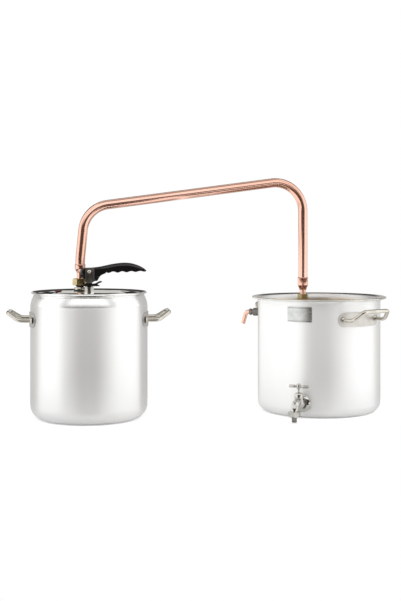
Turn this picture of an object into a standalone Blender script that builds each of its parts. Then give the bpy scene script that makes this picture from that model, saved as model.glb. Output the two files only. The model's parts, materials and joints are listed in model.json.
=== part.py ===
"""Alembic still: a boiler with a clamped lid, a copper vapour arm and a coil condenser.

Metres, +Z up. The two pots stand on z = 0 with their axes on the X axis, and the origin is
midway along the whole still. Every piece is its own object in the collection alembic_still.
"""

import math

import bmesh
import bpy
from mathutils import Matrix, Vector

# Gap left between two pieces that touch.
GAP = 0.0003

# Where the two pots stand.
BOILER_X = -0.2594
CONDENSER_X = 0.2859
BOILER_TURN = -5.8  # degrees, the direction of the boiler's handles and lever

# Boiler pot and its lid.
SHEET = 0.0015
BOILER_R = 0.1325
BOILER_CORNER_R = 0.032
BOILER_RIM_Z = 0.2865
BOILER_RIM_R = 0.131
BOILER_MOUTH_R = 0.1145
BOILER_NECK_R = 0.1268
BOILER_HANDLE_Z = 0.2244
LID_TOP_Z = 0.2858
LID_FLAT_R = 0.066
LID_R = 0.1205
LID_EDGE_Z = 0.2705
PIVOT_Z = 0.3314
PAD_TOP_Z = PIVOT_Z - 0.0277
BAR_TOP_Z = 0.298
BAR_WIDTH = 0.020
BAR_THICK = 0.005
STUD_R = 0.006
STUD_NECK_TOP = PIVOT_Z - 0.0285
LUG_THICK = 0.006
LEVER_WIDTH = 0.0212
CAM_PLATE_THICK = 0.0015

# Condenser pot.
CONDENSER_R = 0.1445
CONDENSER_CORNER_R = 0.024
CONDENSER_RIM_R = 0.1585
CONDENSER_RIM_Z = 0.2695
CONDENSER_HANDLE_Z = 0.223
HANDLE_FRONT_TURN = -64.8
HANDLE_BACK_TURN = 115.2
TAP_TURN = -122.5
TAP_Z = 0.036
LABEL_TURN = -125.4
LABEL_Z = 0.235
LABEL_HALF_ARC = 0.0290
LABEL_HEIGHT = 0.034
LABEL_THICK = 0.0008
OVERFLOW_TURN = 150.0
OVERFLOW_Z = 0.228
OVERFLOW_ROUTE = [(0.0040, 0), (0.0345, 0), (0.0425, -0.0285)]
OUTLET_TURN = 60.0
OUTLET_Z = 0.045
OUTLET_ROUTE = [(-0.0137, 0), (0.0400, 0), (0.0450, -0.0250)]

# Loop handles, shared by both pots.
ROD_R = 0.0044
HANDLE_REACH = 0.0475
HANDLE_FOOT_HALF = 0.0490
HANDLE_GRIP_HALF = 0.0360
PLATE_HALF_ARC = 0.062
PLATE_HEIGHT = 0.032
PLATE_THICK = 0.0015

# Vapour arm: 22 mm copper tube with 15 mm stubs at its two unions.
ARM_Y = 0.0424
ARM_R = 0.011
ARM_WALL = 0.001
STUB_R = 0.0075
BOILER_UNION_X = -0.2760
CONDENSER_UNION_X = 0.2593
ARM_LOW_CORNER = (-0.2643, 0.4776)
ARM_HIGH_CORNER = (0.2593, 0.5490)
ARM_LOW_BEND_R = 0.066
ARM_HIGH_BEND_R = 0.068
BOILER_NUT_TOP = 0.3140
CONDENSER_NUT_TOP = 0.2723
BOILER_REDUCER = (0.3285, 0.0171)
CONDENSER_REDUCER = (0.2834, 0.0281)

# Condenser coil: 10 mm copper tube.
COIL_TUBE_R = 0.005
COIL_R = 0.098
COIL_TOP_Z = 0.220
COIL_TURN_STEPS = 13


# ---------------------------------------------------------------- scene and materials


def clear_scene():
    for obj in list(bpy.data.objects):
        bpy.data.objects.remove(obj, do_unlink=True)


def new_collection(name):
    collection = bpy.data.collections.new(name)
    bpy.context.scene.collection.children.link(collection)
    return collection


def principled(name, colour, metallic, roughness):
    material = bpy.data.materials.new(name)
    material.use_nodes = True
    shader = material.node_tree.nodes["Principled BSDF"]
    shader.inputs["Base Color"].default_value = (*colour, 1.0)
    shader.inputs["Metallic"].default_value = metallic
    shader.inputs["Roughness"].default_value = roughness
    return material


clear_scene()
PARTS = new_collection("alembic_still")
CUTTERS = new_collection("cutters")
STEEL = principled("satin_steel", (0.80, 0.80, 0.79), 1.0, 0.28)
CHROME = principled("chrome", (0.86, 0.86, 0.84), 1.0, 0.10)
COPPER = principled("copper", (0.78, 0.38, 0.24), 1.0, 0.18)
BRASS = principled("brass", (0.62, 0.46, 0.20), 1.0, 0.25)
BLACK = principled("black_plastic", (0.012, 0.012, 0.013), 0.0, 0.30)
RUBBER = principled("grey_rubber", (0.10, 0.10, 0.10), 0.0, 0.75)
PLUG_RED = principled("plug_rubber", (0.12, 0.015, 0.012), 0.0, 0.55)


# ---------------------------------------------------------------- modelling helpers


def place(name, data, material, parent=None, location=(0, 0, 0), rotation=(0, 0, 0)):
    """Adds an object to the still, or to the cutters when it has no material."""
    obj = bpy.data.objects.new(name, data)
    obj.location = location
    obj.rotation_euler = rotation
    obj.parent = parent
    if material is None:
        CUTTERS.objects.link(obj)
        obj.hide_render = True
        obj.display_type = "WIRE"
    else:
        PARTS.objects.link(obj)
        data.materials.append(material)
    return obj


def empty(name, location=(0, 0, 0), turn_deg=0.0, parent=None):
    obj = place(name, None, None, parent, location, (0, 0, math.radians(turn_deg)))
    obj.empty_display_size = 0.02
    return obj


def boolean(obj, other, operation="DIFFERENCE"):
    modifier = obj.modifiers.new(operation.title(), "BOOLEAN")
    modifier.operation = operation
    modifier.solver = "EXACT"
    modifier.object = other


def turned(name, profile, material, parent=None, location=(0, 0, 0), rotation=(0, 0, 0),
           steps=18, loop=False, angle_deg=360.0):
    """A profile of (radius, height) points, down its outer side, swept about local Z."""
    points = [(radius, 0.0, height) for radius, height in profile]
    edges = [(i, i + 1) for i in range(len(points) - 1)]
    if loop:
        edges.append((len(points) - 1, 0))
    mesh = bpy.data.meshes.new(name)
    mesh.from_pydata(points, edges, [])
    obj = place(name, mesh, material, parent, location, rotation)
    screw = obj.modifiers.new("Turn", "SCREW")
    screw.angle = math.radians(angle_deg)
    screw.steps = steps
    screw.render_steps = steps
    screw.use_smooth_shade = True
    screw.use_merge_vertices = True
    screw.merge_threshold = 0.00001
    return obj


def rod_profile(radius, low, high, chamfer=0.0):
    """A solid cylinder's profile, with its two edges broken by a chamfer."""
    if not chamfer:
        return [(0, high), (radius, high), (radius, low), (0, low)]
    return [(0, high), (radius - chamfer, high), (radius, high - chamfer),
            (radius, low + chamfer), (radius - chamfer, low), (0, low)]


def ring_profile(outer, inner, low, high):
    return [(outer, high), (outer, low), (inner, low), (inner, high)]


def cylinder_cutter(name, radius, low, high, parent=None, location=(0, 0, 0),
                    rotation=(0, 0, 0), steps=16):
    return turned(name, rod_profile(radius, low, high), None, parent, location, rotation, steps)


def arc(centre, radius, start_deg, end_deg, steps):
    """Points along an arc of a circle, as (x, y) pairs, both ends included."""
    points = []
    for i in range(steps + 1):
        angle = math.radians(start_deg + (end_deg - start_deg) * i / steps)
        points.append((centre[0] + radius * math.cos(angle), centre[1] + radius * math.sin(angle)))
    return points


def offset_inward(path, distance):
    """The path moved to its right-hand side, with mitred corners."""
    normals = []
    for start, end in zip(path, path[1:]):
        along = Vector((end[0] - start[0], end[1] - start[1])).normalized()
        normals.append(Vector((along.y, -along.x)))
    moved = []
    for i, point in enumerate(path):
        before = normals[max(i - 1, 0)]
        after = normals[min(i, len(normals) - 1)]
        middle = (before + after).normalized()
        moved.append(tuple(Vector(point) + middle * distance / middle.dot(after)))
    return moved


def sheet_profile(outer, thickness):
    """A closed-bottom vessel's profile: up the inside from the axis, then down the outside."""
    inner = offset_inward(outer, thickness)
    inner[-1] = (0.0, inner[-1][1])
    return list(reversed(inner)) + outer


def rounded(corners, radii, steps=6):
    """A route through 3-D corners, each inner one rounded to its radius by an arc."""
    corners = [Vector(corner) for corner in corners]
    route = [corners[0]]
    for i in range(1, len(corners) - 1):
        here = corners[i]
        inward = (corners[i - 1] - here).normalized()
        outward = (corners[i + 1] - here).normalized()
        half = inward.angle(outward) / 2
        radius = radii[i - 1]
        middle = (inward + outward).normalized()
        centre = here + middle * radius / math.sin(half)
        start = here + inward * radius / math.tan(half) - centre
        axis = inward.cross(outward).normalized()
        sweep = math.pi - 2 * half
        for k in range(steps + 1):
            turn = Matrix.Rotation(-sweep * k / steps, 3, axis)
            route.append(centre + turn @ start)
    route.append(corners[-1])
    return route


def tube(name, route, radius, material, parent=None, location=(0, 0, 0), sides=8, wall=0.0):
    """A round bar along a route, or a tube of that wall thickness, open at both ends."""
    curve = bpy.data.curves.new(name, "CURVE")
    curve.dimensions = "3D"
    curve.bevel_depth = radius
    curve.bevel_resolution = (sides - 4) // 2
    curve.use_fill_caps = not wall
    spline = curve.splines.new("POLY")
    spline.points.add(len(route) - 1)
    for point, place_at in zip(spline.points, route):
        point.co = (*place_at, 1.0)
    obj = place(name, curve, material, parent, location)
    if wall:
        solidify = obj.modifiers.new("Wall", "SOLIDIFY")
        solidify.thickness = wall
        solidify.offset = -1.0
    return obj


def as_mesh(obj):
    """The same object as a closed mesh, so that it can take or be a Boolean."""
    graph = bpy.context.evaluated_depsgraph_get()
    mesh = bpy.data.meshes.new_from_object(obj.evaluated_get(graph))
    work = bmesh.new()
    work.from_mesh(mesh)
    bmesh.ops.remove_doubles(work, verts=work.verts, dist=0.00001)
    bmesh.ops.recalc_face_normals(work, faces=work.faces)
    work.to_mesh(mesh)
    work.free()
    name = obj.name
    is_cutter = obj.hide_render
    world = obj.matrix_world.copy()
    curve = obj.data
    bpy.data.objects.remove(obj, do_unlink=True)
    bpy.data.curves.remove(curve)
    solid = bpy.data.objects.new(name, mesh)
    solid.matrix_world = world
    if is_cutter:
        CUTTERS.objects.link(solid)
        solid.hide_render = True
        solid.display_type = "WIRE"
    else:
        PARTS.objects.link(solid)
    return solid


def prism(name, outline, thickness, material, parent=None, location=(0, 0, 0),
          rotation=(0, 0, 0)):
    """A closed flat outline of (x, y) points, extruded about its own plane."""
    curve = bpy.data.curves.new(name, "CURVE")
    curve.dimensions = "2D"
    curve.fill_mode = "BOTH"
    curve.extrude = thickness / 2
    spline = curve.splines.new("POLY")
    spline.points.add(len(outline) - 1)
    for point, (x, y) in zip(spline.points, outline):
        point.co = (x, y, 0.0, 1.0)
    spline.use_cyclic_u = True
    obj = place(name, curve, material, parent, location, rotation)
    bpy.context.view_layer.update()
    return as_mesh(obj)


def stadium(length, height, steps=6):
    """The outline of a strip with half-round ends."""
    radius = height / 2
    reach = length / 2 - radius
    return arc((reach, 0), radius, -90, 90, steps) + arc((-reach, 0), radius, 90, 270, steps)


def box_outline(length, height):
    return [(-length / 2, -height / 2), (length / 2, -height / 2),
            (length / 2, height / 2), (-length / 2, height / 2)]


UPRIGHT = (math.radians(90), 0, 0)  # a prism's outline stands in the XZ plane
FACING_X = (math.radians(90), 0, math.radians(90))  # the outline stands in the YZ plane
ALONG_X = (0, math.radians(90), 0)  # a turned piece's axis points along +X
ALONG_Y = (math.radians(-90), 0, 0)  # a turned piece's axis points along +Y


# ---------------------------------------------------------------- pieces shared by the pots


def curved_plate(name, centre, wall_r, half_arc, outline, height_z, thickness, steps=8):
    """A plate bent to a pot's wall, trimmed to an outline."""
    inner = wall_r + GAP + 0.0003
    half_deg = math.degrees(half_arc / wall_r) + 2
    tall = 0.03
    profile = ring_profile(inner + thickness, inner, height_z - tall, height_z + tall)
    plate = turned(name, profile, STEEL, centre, rotation=(0, 0, math.radians(-half_deg)),
                   steps=steps, loop=True, angle_deg=2 * half_deg)
    trim = prism(name + "_trim", outline, 0.06, None, centre, (wall_r, 0, height_z), FACING_X)
    boolean(plate, trim, "INTERSECT")
    return inner + thickness


def loop_handle(prefix, suffix, pot_x, turn_deg, wall_r, foot_z, rise):
    centre = empty(f"{prefix}_handle_{suffix}_centre", (pot_x, 0, 0), turn_deg)
    face_r = curved_plate(f"{prefix}_handle_plate_{suffix}", centre, wall_r, PLATE_HALF_ARC,
                          stadium(2 * PLATE_HALF_ARC, PLATE_HEIGHT), foot_z, PLATE_THICK)
    start = math.sqrt(face_r**2 - (HANDLE_FOOT_HALF - ROD_R) ** 2) + GAP
    knee = wall_r + 0.024
    reach = wall_r + HANDLE_REACH
    top_z = foot_z + rise
    side = [(start, HANDLE_FOOT_HALF, foot_z), (knee, HANDLE_FOOT_HALF, foot_z),
            (reach, HANDLE_GRIP_HALF, top_z)]
    mirrored = [(x, -y, z) for x, y, z in reversed(side)]
    route = rounded(side + mirrored, (0.012, 0.010, 0.010, 0.012), 4)
    tube(f"{prefix}_handle_rod_{suffix}", route, ROD_R, STEEL, centre)


def union_nut(name, x, top_z, hex_r, cavity_r, depth):
    nut = turned(name, rod_profile(hex_r, -depth, 0, 0.0012), BRASS,
                 location=(x, ARM_Y, top_z), steps=6)
    web = 0.0022
    cavity = turned(name + "_cavity",
                    [(0, 0.001), (STUB_R + GAP, 0.001), (STUB_R + GAP, -web), (cavity_r, -web),
                     (cavity_r, -depth - 0.001), (0, -depth - 0.001)],
                    None, location=(x, ARM_Y, top_z))
    boolean(nut, cavity)


def wall_fitting(prefix, turn_deg, height_z, route):
    """A threaded tube fitting through the condenser's wall, with its seal, nuts and spout."""
    wall = empty(prefix + "_wall", (CONDENSER_X, 0, height_z), turn_deg)
    bore = COIL_TUBE_R + GAP
    start = CONDENSER_R
    body = turned(prefix + "_fitting",
                  [(0, start + 0.0200), (0.0064, start + 0.0200), (0.0064, start + 0.0170),
                   (0.0095, start + 0.0160), (0.0095, start + 0.0022), (0.0078, start + 0.0022),
                   (0.0078, start - 0.0140), (0, start - 0.0140)],
                  CHROME, wall, rotation=ALONG_X, steps=16)
    boolean(body, cylinder_cutter(prefix + "_fitting_bore", bore, start - 0.02, start + 0.03,
                                  wall, rotation=ALONG_X, steps=16))
    turned(prefix + "_seal", ring_profile(0.0105, 0.0081, start + 0.0004, start + 0.0018),
           RUBBER, wall, rotation=ALONG_X, steps=16, loop=True)
    nut = turned(prefix + "_back_nut", rod_profile(0.0125, start - 0.0085, start - 0.0028, 0.0008),
                 BRASS, wall, rotation=ALONG_X, steps=6)
    boolean(nut, cylinder_cutter(prefix + "_back_nut_bore", 0.0081, start - 0.02, start,
                                 wall, rotation=ALONG_X, steps=16))
    collar = turned(prefix + "_collar", rod_profile(0.0078, start + 0.0203, start + 0.0265, 0.0008),
                    BRASS, wall, rotation=ALONG_X, steps=6)
    boolean(collar, cylinder_cutter(prefix + "_collar_bore", bore, start + 0.01, start + 0.04,
                                    wall, rotation=ALONG_X, steps=16))
    corners = [(start + along, 0, up) for along, up in route]
    spout_route = rounded(corners, (0.009,) * (len(corners) - 2), 4)
    tube(prefix + "_spout", spout_route, COIL_TUBE_R, COPPER, wall, wall=0.001)
    return cylinder_cutter(prefix + "_wall_hole", 0.0081, start - 0.02, start + 0.02,
                           wall, rotation=ALONG_X, steps=16)


# ---------------------------------------------------------------- boiler


def make_boiler_pot():
    shoulder_low = BOILER_RIM_Z - 0.037
    outer = [(BOILER_MOUTH_R, BOILER_RIM_Z - 0.0036),
             (BOILER_MOUTH_R + 0.008, BOILER_RIM_Z - 0.002),
             (BOILER_RIM_R - 0.003, BOILER_RIM_Z),
             (BOILER_RIM_R, BOILER_RIM_Z - 0.0012),
             (BOILER_RIM_R - 0.0006, BOILER_RIM_Z - 0.004),
             (BOILER_NECK_R, BOILER_RIM_Z - 0.0093),
             (BOILER_NECK_R + 0.0022, BOILER_RIM_Z - 0.0160),
             (BOILER_R - 0.0011, shoulder_low + 0.014),
             (BOILER_R, shoulder_low)]
    corner_centre = (BOILER_R - BOILER_CORNER_R, BOILER_CORNER_R)
    outer += arc(corner_centre, BOILER_CORNER_R, 0, -90, 5)
    outer.append((0.0, 0.0))
    turned("boiler_pot", sheet_profile(outer, SHEET), STEEL, location=(BOILER_X, 0, 0), steps=40)


def lid_height(radius):
    """The height of the lid's top surface, level in the middle and falling to its edge."""
    share = max(0.0, radius - LID_FLAT_R) / (LID_R - 0.012 - LID_FLAT_R)
    return LID_TOP_Z - (LID_TOP_Z - LID_EDGE_Z) * min(share, 1.0) ** 1.6


def make_lid(centre):
    radii = [LID_R, LID_R - 0.012]
    radii += [LID_FLAT_R + (LID_R - 0.012 - LID_FLAT_R) * k / 4 for k in (3, 2, 1)]
    top = [(0.0, LID_TOP_Z), (LID_FLAT_R, LID_TOP_Z)]
    top += [(radius, lid_height(radius)) for radius in reversed(radii)]
    under = [(radius, height - SHEET) for radius, height in reversed(top)]
    lid = turned("lid", top + under, STEEL, centre, steps=36)
    boolean(lid, cylinder_cutter("lid_stud_hole", STUD_R + GAP, 0.25, 0.30, centre))
    union_at = (BOILER_UNION_X, ARM_Y, 0)
    boolean(lid, cylinder_cutter("lid_fitting_hole", 0.0083, 0.25, 0.30, location=union_at))
    boolean(lid, cylinder_cutter("lid_plug_hole", 0.0063, 0.25, 0.30, centre, (-0.070, 0, 0)))
    gasket_low = LID_EDGE_Z + GAP
    gasket_high = BOILER_RIM_Z - 0.0036 - SHEET - 2 * GAP
    turned("lid_gasket", [(LID_R, gasket_high - 0.001), (LID_R, gasket_low),
                          (LID_R - 0.0105, gasket_low), (LID_R - 0.0055, gasket_low + 0.004),
                          (LID_R - 0.0055, gasket_high - 0.003), (LID_R - 0.002, gasket_high)],
           RUBBER, centre, steps=36, loop=True)


def make_lid_stud(centre):
    """The threaded stud that rises through the bar and ends in a flat eye for the pivot."""
    collar_low = LID_TOP_Z + GAP
    low = LID_TOP_Z - 0.018
    collar_high = collar_low + 0.0060
    stud = turned("lid_stud", [(0, STUD_NECK_TOP), (STUD_R, STUD_NECK_TOP), (STUD_R, collar_high),
                               (0.0095, collar_high), (0.0095, collar_low),
                               (STUD_R, collar_low), (STUD_R, low), (0, low)],
                  STEEL, centre)
    eye_r = 0.0075
    eye_low = STUD_NECK_TOP - 0.003 - PIVOT_Z
    eye = [(-0.0062, eye_low), (0.0062, eye_low)]
    eye += arc((0, 0), eye_r, 0, 180, 8)
    plate = prism("lid_stud_eye", eye, LUG_THICK, None, centre, (0, 0, PIVOT_Z), UPRIGHT)
    boolean(stud, plate, "UNION")
    boolean(stud, cylinder_cutter("lid_stud_pin_hole", 0.0031, -0.02, 0.02, centre,
                                  (0, 0, PIVOT_Z), ALONG_Y, 16))
    nut_high = LID_TOP_Z - SHEET - GAP
    nut = turned("stud_nut", rod_profile(0.0115, nut_high - 0.008, nut_high, 0.001), STEEL,
                 centre, steps=6)
    boolean(nut, cylinder_cutter("stud_nut_bore", STUD_R + GAP, 0.25, 0.30, centre))


def make_strongback(centre):
    """The arched bar across the mouth, resting on the rim front and back."""
    half = BOILER_RIM_R - 0.0045
    foot_z = BOILER_RIM_Z + GAP
    rise = BAR_TOP_Z - BAR_THICK - foot_z
    steps = 12
    low = []
    for i in range(steps + 1):
        y = -half + 2 * half * i / steps
        low.append((y, foot_z + rise * (1 - (y / half) ** 2)))
    high = [(y, z + BAR_THICK * (0.7 + 0.3 * (1 - (y / half) ** 2))) for y, z in reversed(low)]
    bar = prism("strongback_bar", low + high, BAR_WIDTH, STEEL, centre, (0, 0, 0), FACING_X)
    boolean(bar, cylinder_cutter("strongback_hole", STUD_R + 0.001, 0.28, 0.31, centre))


def make_cam_pad(centre):
    """The black seat under the cam, with its upturned beak."""
    low = BAR_TOP_Z + GAP
    outline = [(-0.0110, low), (0.0215, low), (0.0235, low + 0.0010), (0.0190, low + 0.0030),
               (0.0290, low + 0.0095), (0.0240, low + 0.0110), (0.0130, PAD_TOP_Z),
               (-0.0110, PAD_TOP_Z)]
    pad = prism("cam_pad", outline, 0.026, BLACK, centre, (0, 0, 0), UPRIGHT)
    boolean(pad, cylinder_cutter("cam_pad_hole", 0.0082, 0.29, 0.32, centre))


def lever_outline():
    """The lever's side view about its pivot: the cam hub, then the grip with finger scallops."""
    top = [(0.1300, 0.0022), (0.1215, 0.0078), (0.1100, 0.0137), (0.0967, 0.0180),
           (0.0830, 0.0197), (0.0690, 0.0192), (0.0535, 0.0170), (0.0420, 0.0147),
           (0.0240, 0.0107), (-0.0034, 0.0085), (-0.0150, 0.0080)]
    hub = [(-0.0190, 0.0050), (-0.0205, -0.0020), (-0.0200, -0.0085), (-0.0080, -0.0240),
           (0.0180, -0.0215), (0.0205, -0.0180), (0.0240, -0.0120), (0.0305, -0.0068),
           (0.0375, -0.0042)]
    grip = []
    for k in range(1, 16):
        x = 0.0375 + 0.0058 * k
        ripple = 0.0013 * math.cos(2 * math.pi * (x - 0.0440) / 0.0205)
        grip.append((x, -0.0025 + 0.0028 * (x - 0.0375) / 0.09 - ripple))
    return top + hub + grip


def make_lever(centre):
    lever = prism("lever_handle", lever_outline(), LEVER_WIDTH, BLACK, centre,
                  (0, 0, PIVOT_Z), UPRIGHT)
    slot = prism("lever_slot", box_outline(0.044, 0.060), LUG_THICK + 0.0008, None, centre,
                 (-0.0040, 0, PIVOT_Z - 0.010), UPRIGHT)
    boolean(lever, slot)
    boolean(lever, cylinder_cutter("lever_pin_hole", 0.0031, -0.02, 0.02, centre,
                                   (0, 0, PIVOT_Z), ALONG_Y, 16))
    cheek_y = LEVER_WIDTH / 2 + GAP + CAM_PLATE_THICK / 2
    cheek = [(-0.0080, 0.0075), (-0.0085, -0.0200)]
    cheek += [(-0.0068, -0.0245), (-0.0035, -0.0262), (0.0010, -0.0267), (0.0060, -0.0256)]
    cheek += [(0.0113, -0.0225), (0.0113, 0.0075)]
    for side, y in (("front", -cheek_y), ("back", cheek_y)):
        plate = prism("lever_cam_plate_" + side, cheek, CAM_PLATE_THICK, STEEL, centre,
                      (0, y, PIVOT_Z), UPRIGHT)
        boolean(plate, cylinder_cutter("cam_plate_hole_" + side, 0.0031, -0.02, 0.02, centre,
                                       (0, 0, PIVOT_Z), ALONG_Y, 16))
    half = LEVER_WIDTH / 2 + GAP + CAM_PLATE_THICK + GAP
    head = 0.0016
    turned("pivot_pin", [(0, half + head), (0.0030, half + head), (0.0040, half + head / 2),
                         (0.0040, half), (0.0028, half), (0.0028, -half), (0.0040, -half),
                         (0.0040, -half - head / 2), (0.0030, -half - head), (0, -half - head)],
           STEEL, centre, (0, 0, PIVOT_Z), ALONG_Y, 16)


def make_safety_plug(centre):
    lid_z = lid_height(0.070)
    turned("safety_plug", [(0, lid_z + 0.0034), (0.0070, lid_z + 0.0034), (0.0090, lid_z + 0.0022),
                           (0.0090, lid_z + 0.0009), (0.0060, lid_z + 0.0009),
                           (0.0060, lid_z - 0.0060), (0, lid_z - 0.0060)],
           PLUG_RED, centre, (-0.070, 0, 0), steps=20)


def make_lid_fitting():
    at = (BOILER_UNION_X, ARM_Y, 0)
    seat = LID_TOP_Z + GAP
    mouth = BOILER_NUT_TOP - 0.0066
    turned("lid_fitting", [(0.0105, mouth), (0.0105, 0.2965), (0.0088, 0.2955), (0.0088, 0.2925),
                           (0.0135, 0.2915), (0.0135, seat + 0.0017), (0.0080, seat + 0.0017),
                           (0.0080, LID_TOP_Z - 0.014), (0.0062, LID_TOP_Z - 0.014),
                           (0.0062, 0.2985), (0.0080, 0.2985), (0.0080, mouth)],
           STEEL, location=at, loop=True)
    turned("lid_fitting_washer", ring_profile(0.0145, 0.0083, seat, seat + 0.0014), RUBBER,
           location=at, loop=True)
    under = LID_TOP_Z - SHEET - GAP
    nut = turned("lid_fitting_nut", rod_profile(0.0138, under - 0.006, under, 0.0008), BRASS,
                 location=at, steps=6)
    boolean(nut, cylinder_cutter("lid_fitting_nut_bore", 0.0083, 0.25, 0.30, location=at))


def make_boiler():
    make_boiler_pot()
    centre = empty("boiler_centre", (BOILER_X, 0, 0), BOILER_TURN)
    loop_handle("boiler", "left", BOILER_X, 180 + BOILER_TURN, BOILER_R, BOILER_HANDLE_Z, 0.0165)
    loop_handle("boiler", "right", BOILER_X, BOILER_TURN, BOILER_R, BOILER_HANDLE_Z, 0.0165)
    make_lid(centre)
    make_lid_stud(centre)
    make_strongback(centre)
    make_cam_pad(centre)
    make_lever(centre)
    make_safety_plug(centre)
    make_lid_fitting()


# ---------------------------------------------------------------- vapour arm


def make_reducer(name, x, low, height, cone_low):
    """A soldered 22 to 15 mm reducer: small socket below, cone, large socket above."""
    cone_high = cone_low + 0.006
    turned(name, [(0.0126, height), (0.0126, height - 0.0012), (0.0123, height - 0.002),
                  (0.0123, cone_high), (0.0090, cone_low), (0.0090, 0), (STUB_R + GAP, 0),
                  (STUB_R + GAP, cone_low + 0.001), (ARM_R + GAP, cone_high),
                  (ARM_R + GAP, height)],
           COPPER, location=(x, ARM_Y, low), steps=20, loop=True)


def make_stub(name, x, low, high):
    turned(name, ring_profile(STUB_R, STUB_R - 0.001, 0, high - low), COPPER,
           location=(x, ARM_Y, low), steps=16, loop=True)


def make_olive(name, x, nut_top):
    high = nut_top - 0.0022 - GAP
    turned(name, [(0.0081, high), (0.0094, high - 0.0012), (0.0094, high - 0.0026),
                  (0.0081, high - 0.0038), (STUB_R + GAP / 2, high - 0.0038),
                  (STUB_R + GAP / 2, high)],
           BRASS, location=(x, ARM_Y, 0), steps=16, loop=True)


def make_arm():
    boiler_low, boiler_height = BOILER_REDUCER
    condenser_low, condenser_height = CONDENSER_REDUCER
    boiler_end = boiler_low + 0.0105
    condenser_end = condenser_low + 0.0130
    corners = [(BOILER_UNION_X, ARM_Y, boiler_end), (BOILER_UNION_X, ARM_Y, 0.357),
               (ARM_LOW_CORNER[0], ARM_Y, ARM_LOW_CORNER[1]),
               (ARM_HIGH_CORNER[0], ARM_Y, ARM_HIGH_CORNER[1]),
               (CONDENSER_UNION_X, ARM_Y, condenser_end)]
    route = rounded(corners, (0.20, ARM_LOW_BEND_R, ARM_HIGH_BEND_R), 7)
    tube("vapour_arm", route, ARM_R, COPPER, sides=12, wall=ARM_WALL)
    make_reducer("reducer_boiler", BOILER_UNION_X, boiler_low, boiler_height, 0.0015)
    make_reducer("reducer_condenser", CONDENSER_UNION_X, condenser_low, condenser_height, 0.0030)
    make_stub("arm_stub_boiler", BOILER_UNION_X, 0.2990, boiler_low + 0.0022)
    make_stub("arm_stub_condenser", CONDENSER_UNION_X, 0.2600, condenser_low + 0.0035)
    make_olive("olive_boiler", BOILER_UNION_X, BOILER_NUT_TOP)
    make_olive("olive_condenser", CONDENSER_UNION_X, CONDENSER_NUT_TOP)
    union_nut("union_nut_boiler", BOILER_UNION_X, BOILER_NUT_TOP, 0.0175, 0.0113, 0.0158)
    union_nut("union_nut_condenser", CONDENSER_UNION_X, CONDENSER_NUT_TOP, 0.0134, 0.0102, 0.0170)


# ---------------------------------------------------------------- condenser


def make_condenser_pot(holes):
    outer = [(CONDENSER_RIM_R, CONDENSER_RIM_Z - 0.0015),
             (CONDENSER_R + 0.0055, CONDENSER_RIM_Z - 0.003),
             (CONDENSER_R + 0.0017, CONDENSER_RIM_Z - 0.007),
             (CONDENSER_R, CONDENSER_RIM_Z - 0.013)]
    corner_centre = (CONDENSER_R - CONDENSER_CORNER_R, CONDENSER_CORNER_R)
    outer += arc(corner_centre, CONDENSER_CORNER_R, 0, -90, 4)
    outer.append((0.0, 0.0))
    pot = turned("condenser_pot", sheet_profile(outer, SHEET), STEEL,
                 location=(CONDENSER_X, 0, 0), steps=40)
    for hole in holes:
        boolean(pot, hole)


def make_coil():
    """The condenser worm: down from the inlet union, out in a spiral, round and down, and out."""
    start_x = CONDENSER_UNION_X - CONDENSER_X
    start_angle = math.degrees(math.atan2(ARM_Y, start_x))
    start_r = math.hypot(start_x, ARM_Y)
    spiral_turn = 130.0
    end_angle = OUTLET_TURN - 35 + 360 * 6
    helix_start = start_angle + spiral_turn
    spiral = []
    for k in range(1, 9):
        share = k / 8
        smooth = share * share * (3 - 2 * share)
        angle = math.radians(start_angle + spiral_turn * share)
        radius = start_r + (COIL_R - start_r) * smooth
        spiral.append(Vector((radius * math.cos(angle), radius * math.sin(angle), COIL_TOP_Z)))
    top = Vector((start_x, ARM_Y, 0.2478))
    corner = Vector((start_x, ARM_Y, COIL_TOP_Z + 0.001))
    route = rounded([top, corner, spiral[1]], (0.012,), 4)[:-1] + spiral[1:]
    turns = (end_angle - helix_start) / 360
    count = int(turns * COIL_TURN_STEPS)
    for k in range(1, count + 1):
        share = k / count
        angle = math.radians(helix_start + 360 * turns * share)
        height = COIL_TOP_Z + (OUTLET_Z - COIL_TOP_Z) * share
        route.append(Vector((COIL_R * math.cos(angle), COIL_R * math.sin(angle), height)))
    out = Vector((math.cos(math.radians(OUTLET_TURN)), math.sin(math.radians(OUTLET_TURN)), 0))
    bend = out * COIL_R / math.cos(math.radians(35)) + Vector((0, 0, OUTLET_Z))
    end = out * (CONDENSER_R - 0.0143) + Vector((0, 0, OUTLET_Z))
    route += rounded([route[-1], bend, end], (0.012,), 3)[1:]
    tube("condenser_coil", route, COIL_TUBE_R, COPPER, location=(CONDENSER_X, 0, 0))
    mouth = CONDENSER_NUT_TOP - 0.0066
    at = (CONDENSER_UNION_X, ARM_Y, 0)
    turned("coil_inlet_fitting", [(0.0094, mouth), (0.0094, 0.2530), (0.0125, 0.2522),
                                  (0.0125, 0.2445), (0.0105, 0.2435), (COIL_TUBE_R + GAP, 0.2435),
                                  (COIL_TUBE_R + GAP, 0.2500), (0.0040, 0.2500), (0.0040, 0.2590),
                                  (0.0080, 0.2590), (0.0080, mouth)],
           BRASS, location=at, steps=20, loop=True)


def make_label():
    centre = empty("label_centre", (CONDENSER_X, 0, 0), LABEL_TURN)
    curved_plate("label_plate", centre, CONDENSER_R, LABEL_HALF_ARC,
                 box_outline(2 * LABEL_HALF_ARC, LABEL_HEIGHT), LABEL_Z, LABEL_THICK, 6)


# ---------------------------------------------------------------- tap


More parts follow.
